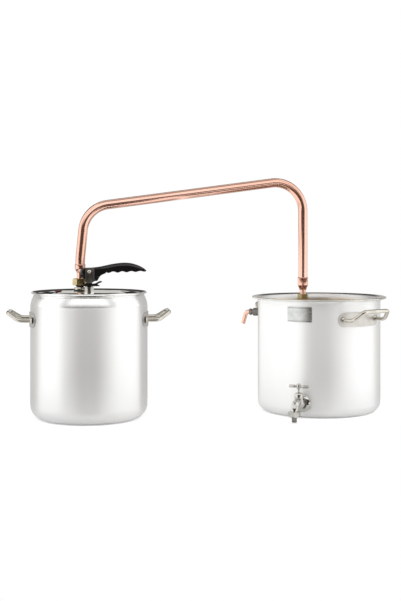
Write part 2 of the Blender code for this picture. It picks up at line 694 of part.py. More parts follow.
def make_tap():
    """A screw-down bib tap with a T-handle and a hose tail. Returns its wall hole's cutter."""
    wall = empty("tap_wall", (CONDENSER_X, 0, 0), TAP_TURN)
    start = CONDENSER_R
    inlet_at = (0, 0, TAP_Z)
    barrel = start + 0.030
    nose = start + 0.066
    thread_r = 0.0100
    body = turned("tap_body", [(0, start + 0.0320), (0.0085, start + 0.0320),
                               (0.0085, start + 0.0200), (0.0098, start + 0.0190),
                               (0.0098, start + 0.0105), (thread_r, start + 0.0100),
                               (thread_r, start - 0.0140), (0, start - 0.0140)],
                  CHROME, wall, inlet_at, ALONG_X, 16)
    upright = turned("tap_barrel", [(0, 0.0530), (0.0085, 0.0530), (0.0105, 0.0500),
                                    (0.0112, 0.0400), (0.0100, 0.0300), (0.0050, 0.0265),
                                    (0, 0.0265)],
                     None, wall, (barrel, 0, 0), steps=16)
    boolean(body, upright, "UNION")
    corners = [(start + 0.030, 0, 0.0440), (nose, 0, 0.0415), (nose, 0, 0.0215)]
    spout = tube("tap_spout", rounded(corners, (0.015,), 4), 0.0084, None, wall, sides=12)
    bpy.context.view_layer.update()
    boolean(body, as_mesh(spout), "UNION")
    for name, radius, low, high, at, rotation in (
        ("tap_inlet_bore", 0.0068, start - 0.02, start + 0.022, inlet_at, ALONG_X),
        ("tap_barrel_bore", 0.0052, 0.0420, 0.0600, (barrel, 0, 0), (0, 0, 0)),
        ("tap_spout_bore", 0.0050, 0.0150, 0.0330, (nose, 0, 0), (0, 0, 0)),
    ):
        boolean(body, cylinder_cutter(name, radius, low, high, wall, at, rotation, 16))
    turned("tap_outer_seal", ring_profile(0.0185, 0.0103, start + 0.0004, start + 0.0022),
           RUBBER, wall, inlet_at, ALONG_X, 24, loop=True)
    turned("tap_flange", [(0.0155, start + 0.0078), (0.0200, start + 0.0040),
                          (0.0200, start + 0.0025), (0.0103, start + 0.0025),
                          (0.0103, start + 0.0078)],
           CHROME, wall, inlet_at, ALONG_X, 24, loop=True)
    turned("tap_inner_seal", ring_profile(0.0155, 0.0103, start - 0.0046, start - 0.0028),
           RUBBER, wall, inlet_at, ALONG_X, 20, loop=True)
    nut = turned("tap_back_nut", rod_profile(0.0160, start - 0.0110, start - 0.0049, 0.001),
                 BRASS, wall, inlet_at, ALONG_X, 6)
    boolean(nut, cylinder_cutter("tap_back_nut_bore", 0.0103, start - 0.03, start, wall,
                                 inlet_at, ALONG_X, 20))
    turned("tap_bonnet", [(0.0050, 0.0640), (0.0085, 0.0622), (0.0098, 0.0590), (0.0098, 0.0533),
                          (0.0033, 0.0533), (0.0033, 0.0640)],
           CHROME, wall, (barrel, 0, 0), steps=16, loop=True)
    turned("tap_spindle", [(0, 0.0712), (0.0028, 0.0712), (0.0028, 0.0500), (0.0046, 0.0495),
                           (0.0046, 0.0450), (0, 0.0450)],
           CHROME, wall, (barrel, 0, 0), steps=12)
    bar_z = 0.0774
    handle = turned("tap_handle", [(0, 0.0838), (0.0035, 0.0838), (0.0056, 0.0818),
                                   (0.0056, 0.0735), (0.0045, 0.0715), (0, 0.0715)],
                    CHROME, wall, (barrel, 0, 0), steps=12)
    half = 0.0225
    cross = turned("tap_handle_bar", [(0, half), (0.0028, half), (0.0034, half - 0.001),
                                      (0.0034, 0.0085), (0.0024, 0.0075), (0.0024, -0.0075),
                                      (0.0034, -0.0085), (0.0034, 0.001 - half), (0.0028, -half),
                                      (0, -half)],
                   None, wall, (barrel, 0, bar_z), ALONG_Y, 10)
    boolean(handle, cross, "UNION")
    hose = turned("hose_nut", rod_profile(0.0145, 0.0150, 0.0270, 0.001), CHROME, wall,
                  (nose, 0, 0), steps=6)
    boolean(hose, turned("hose_nut_cavity",
                         [(0, 0.030), (0.0090, 0.030), (0.0090, 0.0178), (0.0069, 0.0178),
                          (0.0069, 0.010), (0, 0.010)], None, wall, (nose, 0, 0), steps=16))
    barb = [(0.0083, 0.0211), (0.0083, 0.0181), (0.0064, 0.0181)]
    for ridge in range(3):
        top = 0.0130 - 0.0033 * ridge
        barb += [(0.0052, top), (0.0064, top - 0.0004)]
    barb += [(0.0050, 0.0030), (0.0036, 0.0030), (0.0036, 0.0211)]
    turned("hose_barb", barb, CHROME, wall, (nose, 0, 0), steps=16, loop=True)
    return cylinder_cutter("tap_wall_hole", 0.0104, start - 0.02, start + 0.02, wall, inlet_at,
                           ALONG_X, 20)


def make_condenser():
    loop_handle("condenser", "front", CONDENSER_X, HANDLE_FRONT_TURN, CONDENSER_R,
                CONDENSER_HANDLE_Z, 0.021)
    loop_handle("condenser", "back", CONDENSER_X, HANDLE_BACK_TURN, CONDENSER_R,
                CONDENSER_HANDLE_Z, 0.021)
    holes = [
        wall_fitting("overflow", OVERFLOW_TURN, OVERFLOW_Z, OVERFLOW_ROUTE),
        wall_fitting("outlet", OUTLET_TURN, OUTLET_Z, OUTLET_ROUTE),
        make_tap(),
    ]
    make_condenser_pot(holes)
    make_coil()
    make_label()


make_boiler()
make_arm()
make_condenser()
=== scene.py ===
"""Looks of the alembic still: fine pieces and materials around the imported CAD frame."""

import json
import math

import bmesh
import bpy
from mathutils import Matrix, Vector


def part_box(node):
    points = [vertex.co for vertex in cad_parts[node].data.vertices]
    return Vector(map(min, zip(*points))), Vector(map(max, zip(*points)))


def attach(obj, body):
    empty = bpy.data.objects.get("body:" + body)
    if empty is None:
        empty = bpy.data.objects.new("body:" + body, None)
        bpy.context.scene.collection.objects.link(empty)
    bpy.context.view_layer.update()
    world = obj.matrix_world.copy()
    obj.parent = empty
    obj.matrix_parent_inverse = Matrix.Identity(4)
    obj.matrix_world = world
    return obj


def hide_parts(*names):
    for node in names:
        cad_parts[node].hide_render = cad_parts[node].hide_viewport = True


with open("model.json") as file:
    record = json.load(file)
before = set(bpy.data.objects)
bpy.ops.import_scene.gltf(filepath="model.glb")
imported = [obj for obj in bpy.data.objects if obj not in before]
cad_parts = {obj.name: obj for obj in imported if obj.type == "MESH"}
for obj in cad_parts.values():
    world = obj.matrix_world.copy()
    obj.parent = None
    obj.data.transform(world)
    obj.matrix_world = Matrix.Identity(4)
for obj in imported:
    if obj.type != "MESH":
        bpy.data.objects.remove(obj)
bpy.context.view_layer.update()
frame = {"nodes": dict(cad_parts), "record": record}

RECORD = frame["record"]
BODY_OF = {node: body for body, nodes in RECORD["behaviour"]["bodies"].items() for node in nodes}
SLOT_OF = {part["node"]: part["material_slot"] for part in RECORD["subparts"]}
JOINTS = {joint["name"]: joint for joint in RECORD["behaviour"]["joints"]}


def middle(node):
    low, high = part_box(node)
    return (Vector(low) + Vector(high)) / 2


def low_z(node):
    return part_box(node)[0][2]


def high_z(node):
    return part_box(node)[1][2]


def half_height(node):
    return (high_z(node) - low_z(node)) / 2


def radius_x(node):
    low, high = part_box(node)
    return (high[0] - low[0]) / 2


CONDENSER_FLARE = 0.014  # how far the condenser's rim stands out past its wall

# Main places and sizes, read from the frame.
BOILER = middle("boiler_pot")
CONDENSER = middle("condenser_pot")
BOILER_R = radius_x("boiler_pot")
BOILER_RIM_Z = high_z("boiler_pot")
CONDENSER_RIM_R = radius_x("condenser_pot")
CONDENSER_RIM_Z = high_z("condenser_pot")
CONDENSER_R = CONDENSER_RIM_R - CONDENSER_FLARE
PIVOT = Vector(JOINTS["cam_lever"]["pos_m"])
LEVER_AXIS = Vector(JOINTS["cam_lever"]["axis"])
LEVER_TURN = math.atan2(LEVER_AXIS.x, -LEVER_AXIS.y)
TAP_SPINDLE = Vector(JOINTS["tap_handle_turn"]["pos_m"])
TAP_NOSE = Vector(JOINTS["hose_nut_turn"]["pos_m"])
TAP_TURN = math.atan2(TAP_SPINDLE.y, TAP_SPINDLE.x - CONDENSER.x)
BOILER_UNION = middle("union_nut_boiler")
CONDENSER_UNION = middle("union_nut_condenser")

SHEET = 0.0015  # the CAD pots' and lid's sheet
DRAWN_SHEET = SHEET * 0.8  # the same sheet in the fine pieces
GAP = 0.0003  # between two pieces that touch
TUBE_R = 0.011
TUBE_WALL = 0.001
STUB_R = 0.0075
COIL_TUBE_R = 0.005
ROD_R = 0.0044  # the handles' bent rods
PLATE_GAP = 0.0006  # between a curved wall and a plate on it
HANDLE_PLATE = 0.0015
HANDLE_PLATE_REACH = 0.062
HANDLE_PLATE_RISE = 0.016

PAINTED_SHADE_REACH = 0.012  # how far from a corner its shade starts
BUMP_DEPTH = 0.0002
STREAKS_UP = 0.25  # the turn that draws reflections out up and down on a wall
RINGS = (1, 1, 90)  # grain that runs round a turned piece
ALONG = (90, 90, 1)  # grain that runs along a piece's own Z
EVEN = (1, 1, 1)

DARK_SIDE_DEG = 262.7  # the dim end of the studio, behind the camera
STUDIO_WHITE = (1.38, 1.38, 1.37)
CARD_WHITE = (1.30, 1.30, 1.29)
CARD_GREY = (0.50, 0.49, 0.48)
CARD_DARK = (0.075, 0.050, 0.034)
DARK_CARD_AT = (-0.62, -2.83, 0.30)
FLOOR_Z = -0.0004
FLOOR_REACH = 0.095
FLOOR_GLOW = 0.37
CAMERA_AT = (-0.510, -2.480, 0.420)
CAMERA_TURN_DEG = -11.6
CAMERA_LENS = 65.3
CAMERA_SHIFT = -0.1132


# ---------------------------------------------------------------- node helpers


def feed(tree, socket, value):
    """Sets the socket to a value, or links it to another node's output."""
    if isinstance(value, bpy.types.NodeSocket):
        tree.links.new(value, socket)
    else:
        socket.default_value = value


def new_node(tree, kind, inputs):
    """A node of that kind, with its named or numbered inputs fed."""
    node = tree.nodes.new(kind)
    for key, value in inputs.items():
        feed(tree, node.inputs[key], value)
    return node


def math_node(tree, operation, *values):
    node = new_node(tree, "ShaderNodeMath", dict(enumerate(values)))
    node.operation = operation
    return node.outputs[0]


def map_range(tree, value, from_low, from_high, to_low, to_high):
    node = new_node(tree, "ShaderNodeMapRange", {
        "Value": value, "From Min": from_low, "From Max": from_high,
        "To Min": to_low, "To Max": to_high})
    return node.outputs["Result"]


def eased(mapped):
    """The same mapped range, with its two ends smoothed."""
    mapped.node.interpolation_type = "SMOOTHSTEP"
    return mapped


def mix_colours(tree, factor, first, second, blend_type="MIX"):
    """A mix of two colours, each one an RGB triple or another node's output."""
    node = tree.nodes.new("ShaderNodeMix")
    node.data_type = "RGBA"
    node.blend_type = blend_type
    feed(tree, node.inputs["Factor"], factor)
    for socket, colour in ((node.inputs["A"], first), (node.inputs["B"], second)):
        feed(tree, socket, (*colour, 1.0) if isinstance(colour, tuple) else colour)
    return node.outputs["Result"]


def link_noise(tree, scale, stretch, detail=4.0):
    """A noise texture in object space, stretched by the given scale along each axis."""
    coord = tree.nodes.new("ShaderNodeTexCoord")
    mapping = new_node(tree, "ShaderNodeMapping", {
        "Vector": coord.outputs["Object"], "Scale": stretch})
    noise = new_node(tree, "ShaderNodeTexNoise", {
        "Vector": mapping.outputs["Vector"], "Scale": scale, "Detail": detail, "Roughness": 0.55})
    return noise.outputs["Fac"]


# ---------------------------------------------------------------- materials


def new_material(name):
    material = bpy.data.materials.new(name)
    material.use_nodes = True
    return material, material.node_tree


def surface(name, light, dark, metallic, rough, grain_scale, grain_stretch, patch_scale,
            bump, brushed=0.0, painted_shade=None):
    """A Principled material whose colour drifts in patches and whose grain varies its gloss.

    brushed is how far reflections are drawn out up and down by a finish that runs round Z;
    painted_shade is the colour of shade painted into corners and narrow gaps where ambient occlusion
    finds them closed in.
    """
    material, tree = new_material(name)
    shader = tree.nodes["Principled BSDF"]
    patches = link_noise(tree, patch_scale, EVEN, 5.0)
    grain = link_noise(tree, grain_scale, grain_stretch, 3.0)
    colour = mix_colours(tree, map_range(tree, patches, 0.35, 0.68, 0, 1), light, dark)
    # Painted shade: ambient occlusion pulls the colour towards the given dark colour in corners and
    # narrow gaps.
    if painted_shade:
        shade = new_node(tree, "ShaderNodeAmbientOcclusion", {"Distance": PAINTED_SHADE_REACH})
        shade.samples = 8
        open_share = map_range(tree, shade.outputs["AO"], 0.25, 0.80, 0, 1)
        corner = mix_colours(tree, open_share, painted_shade, (1, 1, 1))
        colour = mix_colours(tree, 1.0, colour, corner, "MULTIPLY")
    bumps = new_node(tree, "ShaderNodeBump", {
        "Strength": bump, "Distance": BUMP_DEPTH, "Height": grain})
    feed(tree, shader.inputs["Base Color"], colour)
    feed(tree, shader.inputs["Roughness"], map_range(tree, grain, 0.3, 0.7, *rough))
    feed(tree, shader.inputs["Normal"], bumps.outputs["Normal"])
    shader.inputs["Metallic"].default_value = metallic
    if brushed:
        tangent = tree.nodes.new("ShaderNodeTangent")
        tangent.direction_type = "RADIAL"
        tangent.axis = "Z"
        feed(tree, shader.inputs["Tangent"], tangent.outputs["Tangent"])
        shader.inputs["Anisotropic"].default_value = brushed
        shader.inputs["Anisotropic Rotation"].default_value = STREAKS_UP
    return material


POLISHED_STEEL = surface("polished_steel", (0.85, 0.85, 0.85), (0.83, 0.83, 0.828), 0.80,
                         (0.44, 0.47), 9.0, RINGS, 6.0, 0.012, brushed=0.85)
SATIN_STEEL = surface("satin_steel", (0.85, 0.85, 0.85), (0.84, 0.84, 0.84), 0.70,
                      (0.46, 0.49), 9.0, RINGS, 5.0, 0.015, brushed=0.82)
MIRROR_STEEL = surface("mirror_steel", (0.82, 0.82, 0.81), (0.78, 0.78, 0.77), 1.0,
                       (0.05, 0.09), 9.0, RINGS, 12.0, 0.01)
# Its last colour is painted shade for corners and gaps between parts.
BRIGHT_STEEL = surface("bright_steel", (0.66, 0.63, 0.57), (0.50, 0.47, 0.41), 1.0,
                       (0.10, 0.18), 300.0, EVEN, 40.0, 0.02, painted_shade=(0.16, 0.13, 0.08))
DARK_STEEL = surface("dark_steel", (0.24, 0.23, 0.22), (0.16, 0.15, 0.14), 1.0,
                     (0.24, 0.34), 240.0, ALONG, 40.0, 0.06)
SHOULDER_STEEL = surface("shoulder_steel", (0.83, 0.83, 0.83), (0.80, 0.80, 0.80), 0.9,
                         (0.24, 0.28), 9.0, RINGS, 6.0, 0.01)
# Painted shade: a darker, warmer copy of the pot steel for the condenser's rim.
RIM_STEEL_PAINTED_SHADE = surface("rim_steel_painted_shade", (0.68, 0.66, 0.61), (0.56, 0.54, 0.50), 1.0,
                    (0.16, 0.24), 9.0, RINGS, 12.0, 0.01)
# Painted shade and a painted reflection of the copper coil: a darker, warmer copy of the pot steel for
# the condenser's inside.
INNER_STEEL_PAINTED_SHADE_AND_REFLECTION = surface("inner_steel_painted_shade_and_reflection", (0.72, 0.68, 0.60), (0.62, 0.57, 0.49), 1.0,
                      (0.26, 0.34), 9.0, RINGS, 6.0, 0.015)
CAST_METAL = surface("cast_metal", (0.93, 0.92, 0.88), (0.86, 0.84, 0.79), 0.15,
                     (0.26, 0.38), 240.0, EVEN, 60.0, 0.08)
PLATE_STEEL = surface("plate_steel", (0.62, 0.60, 0.57), (0.52, 0.50, 0.47), 0.75,
                      (0.30, 0.38), 300.0, EVEN, 40.0, 0.02)
LABEL_STEEL = surface("label_steel", (0.62, 0.63, 0.62), (0.50, 0.51, 0.50), 1.0,
                      (0.20, 0.34), 9.0, RINGS, 60.0, 0.04)
# Its last colour is painted shade for corners and gaps between parts.
CHROME = surface("chrome", (0.62, 0.61, 0.58), (0.44, 0.43, 0.40), 1.0,
                 (0.04, 0.08), 500.0, EVEN, 60.0, 0.02, painted_shade=(0.10, 0.10, 0.08))
COPPER = surface("copper", (0.86, 0.53, 0.43), (0.81, 0.47, 0.36), 1.0,
                 (0.16, 0.18), 12.0, EVEN, 5.0, 0.01)
BRASS = surface("brass", (0.58, 0.48, 0.27), (0.42, 0.33, 0.15), 1.0,
                (0.16, 0.28), 260.0, RINGS, 60.0, 0.06)
SOLDER = surface("solder", (0.88, 0.66, 0.55), (0.78, 0.52, 0.40), 1.0,
                 (0.18, 0.28), 300.0, EVEN, 90.0, 0.15)
GREY_METAL = surface("grey_metal", (0.20, 0.19, 0.175), (0.13, 0.12, 0.11), 0.8,
                     (0.30, 0.42), 260.0, EVEN, 60.0, 0.08)
BLACK_PLASTIC = surface("black_plastic", (0.0038, 0.0038, 0.0040), (0.0060, 0.0060, 0.0062), 0.0,
                        (0.15, 0.22), 900.0, EVEN, 60.0, 0.05)
RUBBER = surface("seal_rubber", (0.022, 0.022, 0.022), (0.035, 0.035, 0.034), 0.0,
                 (0.62, 0.80), 500.0, EVEN, 60.0, 0.2)
PLUG_RUBBER = surface("plug_rubber", (0.10, 0.012, 0.010), (0.06, 0.008, 0.007), 0.0,
                      (0.40, 0.55), 500.0, EVEN, 90.0, 0.15)

BY_SLOT = {"satin_steel": BRIGHT_STEEL, "chrome": CHROME, "copper": COPPER, "brass": BRASS,
           "black_plastic": BLACK_PLASTIC, "rubber": RUBBER, "plug_rubber": PLUG_RUBBER}


# ---------------------------------------------------------------- modelling helpers


# Tilts that lay a piece's own Z along X or along Y.
TIP_X = Matrix.Rotation(math.pi / 2, 4, "Y")
TIP_Y = Matrix.Rotation(-math.pi / 2, 4, "X")


def spot(at, turn=0.0):
    """A placing matrix: moved to a place and turned about Z."""
    return Matrix.Translation(at) @ Matrix.Rotation(turn, 4, "Z")


def on_boiler(turn=0.0):
    return spot((BOILER.x, BOILER.y, 0), turn)


def on_condenser(z=0.0, turn=0.0):
    return spot((CONDENSER.x, CONDENSER.y, z), turn)


def condenser_bearing(at):
    """The turn about Z from the condenser's axis towards a place."""
    return math.atan2(at.y - CONDENSER.y, at.x - CONDENSER.x)


def link_object(name, data):
    obj = bpy.data.objects.new(name, data)
    bpy.context.scene.collection.objects.link(obj)
    return obj


def add(name, mesh, material, matrix, node):
    """Puts a piece in the scene, with the given material, on the body of that CAD node."""
    obj = link_object(name, mesh)
    obj.matrix_world = matrix
    mesh.materials.append(material)
    bpy.context.view_layer.update()
    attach(obj, BODY_OF[node])
    return obj


def replace(node, mesh, material, matrix):
    """Adds the finer piece that is shown instead of that CAD node."""
    obj = add(node + "_fine", mesh, material, matrix, node)
    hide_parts(node)
    return obj


def smooth(mesh, degrees):
    mesh.shade_smooth()
    mesh.set_sharp_from_angle(angle=math.radians(degrees))


def finished(work, name, sharp):
    """The bmesh as a mesh, normals outwards, smooth but for edges of more than sharp degrees."""
    bmesh.ops.recalc_face_normals(work, faces=work.faces)
    mesh = bpy.data.meshes.new(name)
    work.to_mesh(mesh)
    work.free()
    smooth(mesh, sharp)
    return mesh


def bridge(work, first, second):
    """A band of faces between two closed rings of as many points."""
    for k in range(len(first)):
        j = (k + 1) % len(first)
        work.faces.new((first[k], second[k], second[j], first[j]))


def revolve(profile, steps=96, loop=False, sharp=40):
    """A mesh of (radius, height) points turned about Z; ends on the axis are closed to it."""
    work = bmesh.new()
    rings = []
    for radius, height in profile:
        if radius < 1e-7:
            rings.append([work.verts.new((0, 0, height))])
            continue
        ring = []
        for i in range(steps):
            angle = 2 * math.pi * i / steps
            ring.append(work.verts.new((radius * math.cos(angle), radius * math.sin(angle), height)))
        rings.append(ring)
    pairs = list(zip(rings, rings[1:]))
    if loop:
        pairs.append((rings[-1], rings[0]))
    for upper, lower in pairs:
        if len(upper) == len(lower):
            bridge(work, upper, lower)
            continue
        tip, ring = sorted((upper, lower), key=len)
        for i in range(steps):
            work.faces.new((tip[0], ring[i], ring[(i + 1) % steps]))
    return finished(work, "turned", sharp)


def arc(centre, radius, start_deg, end_deg, steps):
    """Points along an arc in 2-D, both ends included."""
    points = []
    for i in range(steps + 1):
        angle = math.radians(start_deg + (end_deg - start_deg) * i / steps)
        points.append((centre[0] + radius * math.cos(angle), centre[1] + radius * math.sin(angle)))
    return points


def moved(points, out, up):
    """Profile points moved out from the axis and up."""
    return [(radius + out, height + up) for radius, height in points]


def flowing(points, steps, closed=False):
    """A Catmull-Rom curve through the points."""
    points = [Vector(point) for point in points]
    count = len(points)
    route = []
    for i in range(count if closed else count - 1):
        a, b, c, d = (points[k % count] if closed else points[min(max(k, 0), count - 1)]
                      for k in (i - 1, i, i + 1, i + 2))
        for k in range(steps):
            t = k / steps
            route.append(0.5 * (2 * b + (c - a) * t + (2 * a - 5 * b + 4 * c - d) * t**2
                                + (3 * b - 3 * c + d - a) * t**3))
    if not closed:
        route.append(points[-1])
    return [tuple(point) for point in route]


def softened(profile, radius, steps=3, loop=False):
    """The profile with each corner sharper than a few degrees rounded off."""
    out = []
    count = len(profile)
    for i, point in enumerate(profile):
        if not loop and i in (0, count - 1):
            out.append(point)
            continue
        here = Vector(point)
        before = Vector(profile[i - 1]) - here
        after = Vector(profile[(i + 1) % count]) - here
        reach = min(radius, before.length * 0.45, after.length * 0.45)
        if math.pi - before.angle(after) < math.radians(12) or reach < 1e-5:
            out.append(point)
            continue
        start = here + before.normalized() * reach
        end = here + after.normalized() * reach
        for k in range(steps + 1):
            t = k / steps
            out.append(tuple(start * (1 - t) ** 2 + here * 2 * t * (1 - t) + end * t**2))
    return out


def offset_inward(path, distance):
    """The path moved sideways by a distance, to the right of its direction."""
    normals = []
    for start, end in zip(path, path[1:]):
        along = Vector((end[0] - start[0], end[1] - start[1])).normalized()
        normals.append(Vector((along.y, -along.x)))
    inner = []
    for i, point in enumerate(path):
        before = normals[max(i - 1, 0)]
        after = normals[min(i, len(normals) - 1)]
        between = (before + after).normalized()
        inner.append(tuple(Vector(point) + between * distance / between.dot(after)))
    return inner


def inner_skin(outer, thickness):
    """The inside of a sheet of that outer profile, from the axis back to where outer starts."""
    inner = offset_inward(outer, thickness)
    inner[-1] = (0.0, inner[-1][1])
    return list(reversed(inner))


def rounded(corners, radii, steps=14):
    """A route through 3-D corners, each inner one rounded to its radius by an arc."""
    corners = [Vector(corner) for corner in corners]
    route = [corners[0]]
    for i in range(1, len(corners) - 1):
        here = corners[i]
        inward = (corners[i - 1] - here).normalized()
        outward = (corners[i + 1] - here).normalized()
        half = inward.angle(outward) / 2
        radius = radii[i - 1]
        centre = here + (inward + outward).normalized() * radius / math.sin(half)
        start = here + inward * radius / math.tan(half) - centre
        axis = inward.cross(outward).normalized()
        for k in range(steps + 1):
            turn = Matrix.Rotation(-(math.pi - 2 * half) * k / steps, 3, axis)
            route.append(centre + turn @ start)
    route.append(corners[-1])
    return route


def tube_mesh(route, radius, sides=32, wall=0.0):
    """A round bar swept along a route with rotation-minimising rings; a tube if it has a wall."""
    route = [Vector(point) for point in route]
    work = bmesh.new()
    tangents = []
    for i in range(len(route)):
        tangents.append((route[min(i + 1, len(route) - 1)] - route[max(i - 1, 0)]).normalized())
    side = tangents[0].orthogonal().normalized()
    skins = [radius] if not wall else [radius, radius - wall]
    rings = [[] for _ in skins]
    for i, centre in enumerate(route):
        if i:
            side = tangents[i - 1].rotation_difference(tangents[i]) @ side
        other = tangents[i].cross(side)
        for skin, size in zip(rings, skins):
            ring = []
            for k in range(sides):
                angle = 2 * math.pi * k / sides
                offset = side * math.cos(angle) + other * math.sin(angle)
                ring.append(work.verts.new(centre + offset * size))
            skin.append(ring)
    for skin in rings:
        for first, second in zip(skin, skin[1:]):
            bridge(work, first, second)
    for end in (0, -1):
        if wall:
            bridge(work, rings[0][end], rings[1][end])
        else:
            work.faces.new(rings[0][end])
    return finished(work, "tube", 50)


def slab(outline, thickness, bevel):
    """A flat outline in the XZ plane, extruded along Y, with its edges rounded."""
    work = bmesh.new()
    half = thickness / 2
    front = [work.verts.new((x, -half, z)) for x, z in outline]
    back = [work.verts.new((x, half, z)) for x, z in outline]
    caps = [work.faces.new(front), work.faces.new(list(reversed(back)))]
    bridge(work, front, back)
    bmesh.ops.recalc_face_normals(work, faces=work.faces)
    if bevel:
        edges = {edge for face in caps for edge in face.edges}
        bmesh.ops.bevel(work, geom=list(edges), offset=bevel, segments=3, profile=0.5,
                        affect="EDGES", clamp_overlap=True)
    return finished(work, "slab", 30)


def cut(obj, mesh, matrix, operation="DIFFERENCE"):
    """Applies a Boolean to obj at once, with a throwaway tool object."""
    tool = link_object("tool", mesh)
    tool.matrix_world = matrix
    modifier = obj.modifiers.new("cut", "BOOLEAN")
    modifier.operation = operation
    modifier.solver = "EXACT"
    modifier.object = tool
    bpy.context.view_layer.update()
    graph = bpy.context.evaluated_depsgraph_get()
    result = bpy.data.meshes.new_from_object(obj.evaluated_get(graph))
    old = obj.data
    obj.modifiers.clear()
    obj.data = result
    if old.materials and not result.materials:
        result.materials.append(old.materials[0])
    smooth(result, 35)
    bpy.data.objects.remove(tool, do_unlink=True)


def rod_profile(radius, low, high):
    return [(0, high), (radius, high), (radius, low), (0, low)]


def rod_mesh(radius, low, high):
    return revolve(rod_profile(radius, low, high), 32)


def thread(first_r, second_r, start_z, pitch, turns):
    """Profile points of a thread that runs down from start_z between two radii."""
    points = []
    for k in range(turns):
        z = start_z - pitch * k
        points += [(first_r, z), (second_r, z - pitch / 2)]
    return points


def hex_nut(across_r, low, high):
    """A hexagonal prism, and the double cone that turns its corners off at both ends."""
    rise = across_r * (1 - math.cos(math.pi / 6)) * math.tan(math.radians(28)) * 1.6
    flat_r = across_r * math.cos(math.pi / 6) * 0.97
    prism = revolve(rod_profile(across_r, low, high), 6)
    cone = revolve([(0, high), (flat_r, high), (across_r * 1.01, high - rise),
                    (across_r * 1.01, low + rise), (flat_r, low), (0, low)], 64)
    return prism, cone


def wall_plate(radius, half_arc, half_height, thickness, edge):
    """A strip on a cylinder of that radius about Z, facing +X; edge(s) scales its half height."""
    work = bmesh.new()
    columns, rows = 48, 6
    grid = []
    for i in range(columns + 1):
        s = -math.cos(math.pi * i / columns)
        angle = s * half_arc / radius
        tall = max(half_height * edge(s), 1e-5)
        column = []
        for k in range(rows + 1):
            z = tall * (2 * k / rows - 1)
            column.append(work.verts.new((radius * math.cos(angle), radius * math.sin(angle), z)))
        grid.append(column)
    for i in range(columns):
        for k in range(rows):
            work.faces.new((grid[i][k], grid[i + 1][k], grid[i + 1][k + 1], grid[i][k + 1]))
    top = bmesh.ops.extrude_face_region(work, geom=work.faces[:])
    for item in top["geom"]:
        if isinstance(item, bmesh.types.BMVert):
            direction = Vector((item.co.x, item.co.y, 0)).normalized()
            item.co += direction * thickness
    bmesh.ops.remove_doubles(work, verts=work.verts, dist=0.00001)
    return finished(work, "wall_plate", 40)


# ---------------------------------------------------------------- pots, lid and handles


def build_boiler_pot():
    """A drawn pot with a round shoulder, a narrow neck and a rolled lip; a black ring on its inner
    flange is painted shade for the recess round the lid.
    """
    rim = BOILER_RIM_Z
    neck_z = rim - 0.0080
    shoulder_r = 0.058
    shoulder_low = neck_z - shoulder_r * math.sin(math.radians(30))
    lip = [(-0.0180, -0.0052), (-0.0165, -0.0034), (-0.0110, -0.0016), (-0.0046, -0.0002),
           (-0.0032, -0.0003), (-0.0022, -0.0015), (-0.0016, -0.0028), (-0.0020, -0.0036),
           (-0.0052, -0.0054), (-0.0076, -0.0068), (-0.0078, -0.0080)]
    corner_r = 0.032
    outer = flowing(moved(lip, BOILER_R, rim), 5)
    outer += arc((BOILER_R - shoulder_r, shoulder_low), shoulder_r, 29, 0, 12)
    outer += [(BOILER_R, z) for z in (0.22, 0.16, 0.10, 0.06)]
    outer += arc((BOILER_R - corner_r, corner_r), corner_r, 0, -78, 14)
    outer += [(BOILER_R - corner_r - 0.004, 0.0), (BOILER_R - 0.050, 0.0), (0.0, 0.0)]
    pot = replace("boiler_pot", revolve(inner_skin(outer, DRAWN_SHEET) + outer, 160, sharp=60),
                  POLISHED_STEEL, on_boiler())
    for extra in (SHOULDER_STEEL, MIRROR_STEEL):
        pot.data.materials.append(extra)
    for face in pot.data.polygons:
        if face.center.z > neck_z:
            face.material_index = 2
        elif face.center.z > rim - 0.0300:
            face.material_index = 1
    # Painted shade: a black rubber ring on the inner flange, where the recess between lid and lip lies
    # in shade.
    shade_ring = moved([(-0.0050, -0.0001), (-0.0052, -0.0009), (-0.0110, -0.0019),
                  (-0.0162, -0.0038), (-0.0170, -0.0034), (-0.0112, -0.0008)], BOILER_R, rim)
    shade_ring = softened(shade_ring, 0.0003, 2, True)
    add("boiler_mouth_shade_ring", revolve(shade_ring, 160, True), RUBBER, on_boiler(), "boiler_pot")


def build_condenser_pot():
    """An open pot with a flared, beaded rim and holes for the fittings that pass its wall."""
    rim = CONDENSER_RIM_Z
    bead_r = 0.0021
    bead = arc((CONDENSER_RIM_R - bead_r, rim - bead_r - 0.0003), bead_r, 115, -150, 12)
    flare = [(0.0084, -0.0030), (0.0060, -0.0040), (0.0026, -0.0062), (0.0008, -0.0100), (0, -0.0150)]
    corner_r = 0.024
    wall = flowing(moved(flare, CONDENSER_R, rim), 5)
    wall += [(CONDENSER_R, z) for z in (0.20, 0.14, 0.08, 0.045)]
    wall += arc((CONDENSER_R - corner_r, corner_r), corner_r, 0, -90, 14)
    wall.append((0.0, 0.0))
    pot = replace("condenser_pot", revolve(inner_skin(wall, DRAWN_SHEET) + bead + wall, 160, sharp=60),
                  SATIN_STEEL, on_condenser())
    for node, radius in (("overflow_fitting", 0.0083), ("outlet_fitting", 0.0083),
                         ("tap_flange", 0.0104)):
        at = middle(node)
        cut(pot, rod_mesh(radius, CONDENSER_R - 0.02, CONDENSER_R + 0.02),
            on_condenser(at.z, condenser_bearing(at)) @ TIP_X)
    for extra in (RIM_STEEL_PAINTED_SHADE, INNER_STEEL_PAINTED_SHADE_AND_REFLECTION):
        pot.data.materials.append(extra)
    for face in pot.data.polygons:
        radius = math.hypot(face.center.x, face.center.y)
        # The rim faces take the darker copy of the steel, as painted shade.
        if radius > CONDENSER_R + 0.004:
            face.material_index = 1
        # The inside wall takes the darker, warmer copy: painted shade and a painted reflection of the
        # coil.
        elif radius < CONDENSER_R - SHEET / 2 and face.center.z > 0.030:
            face.material_index = 2


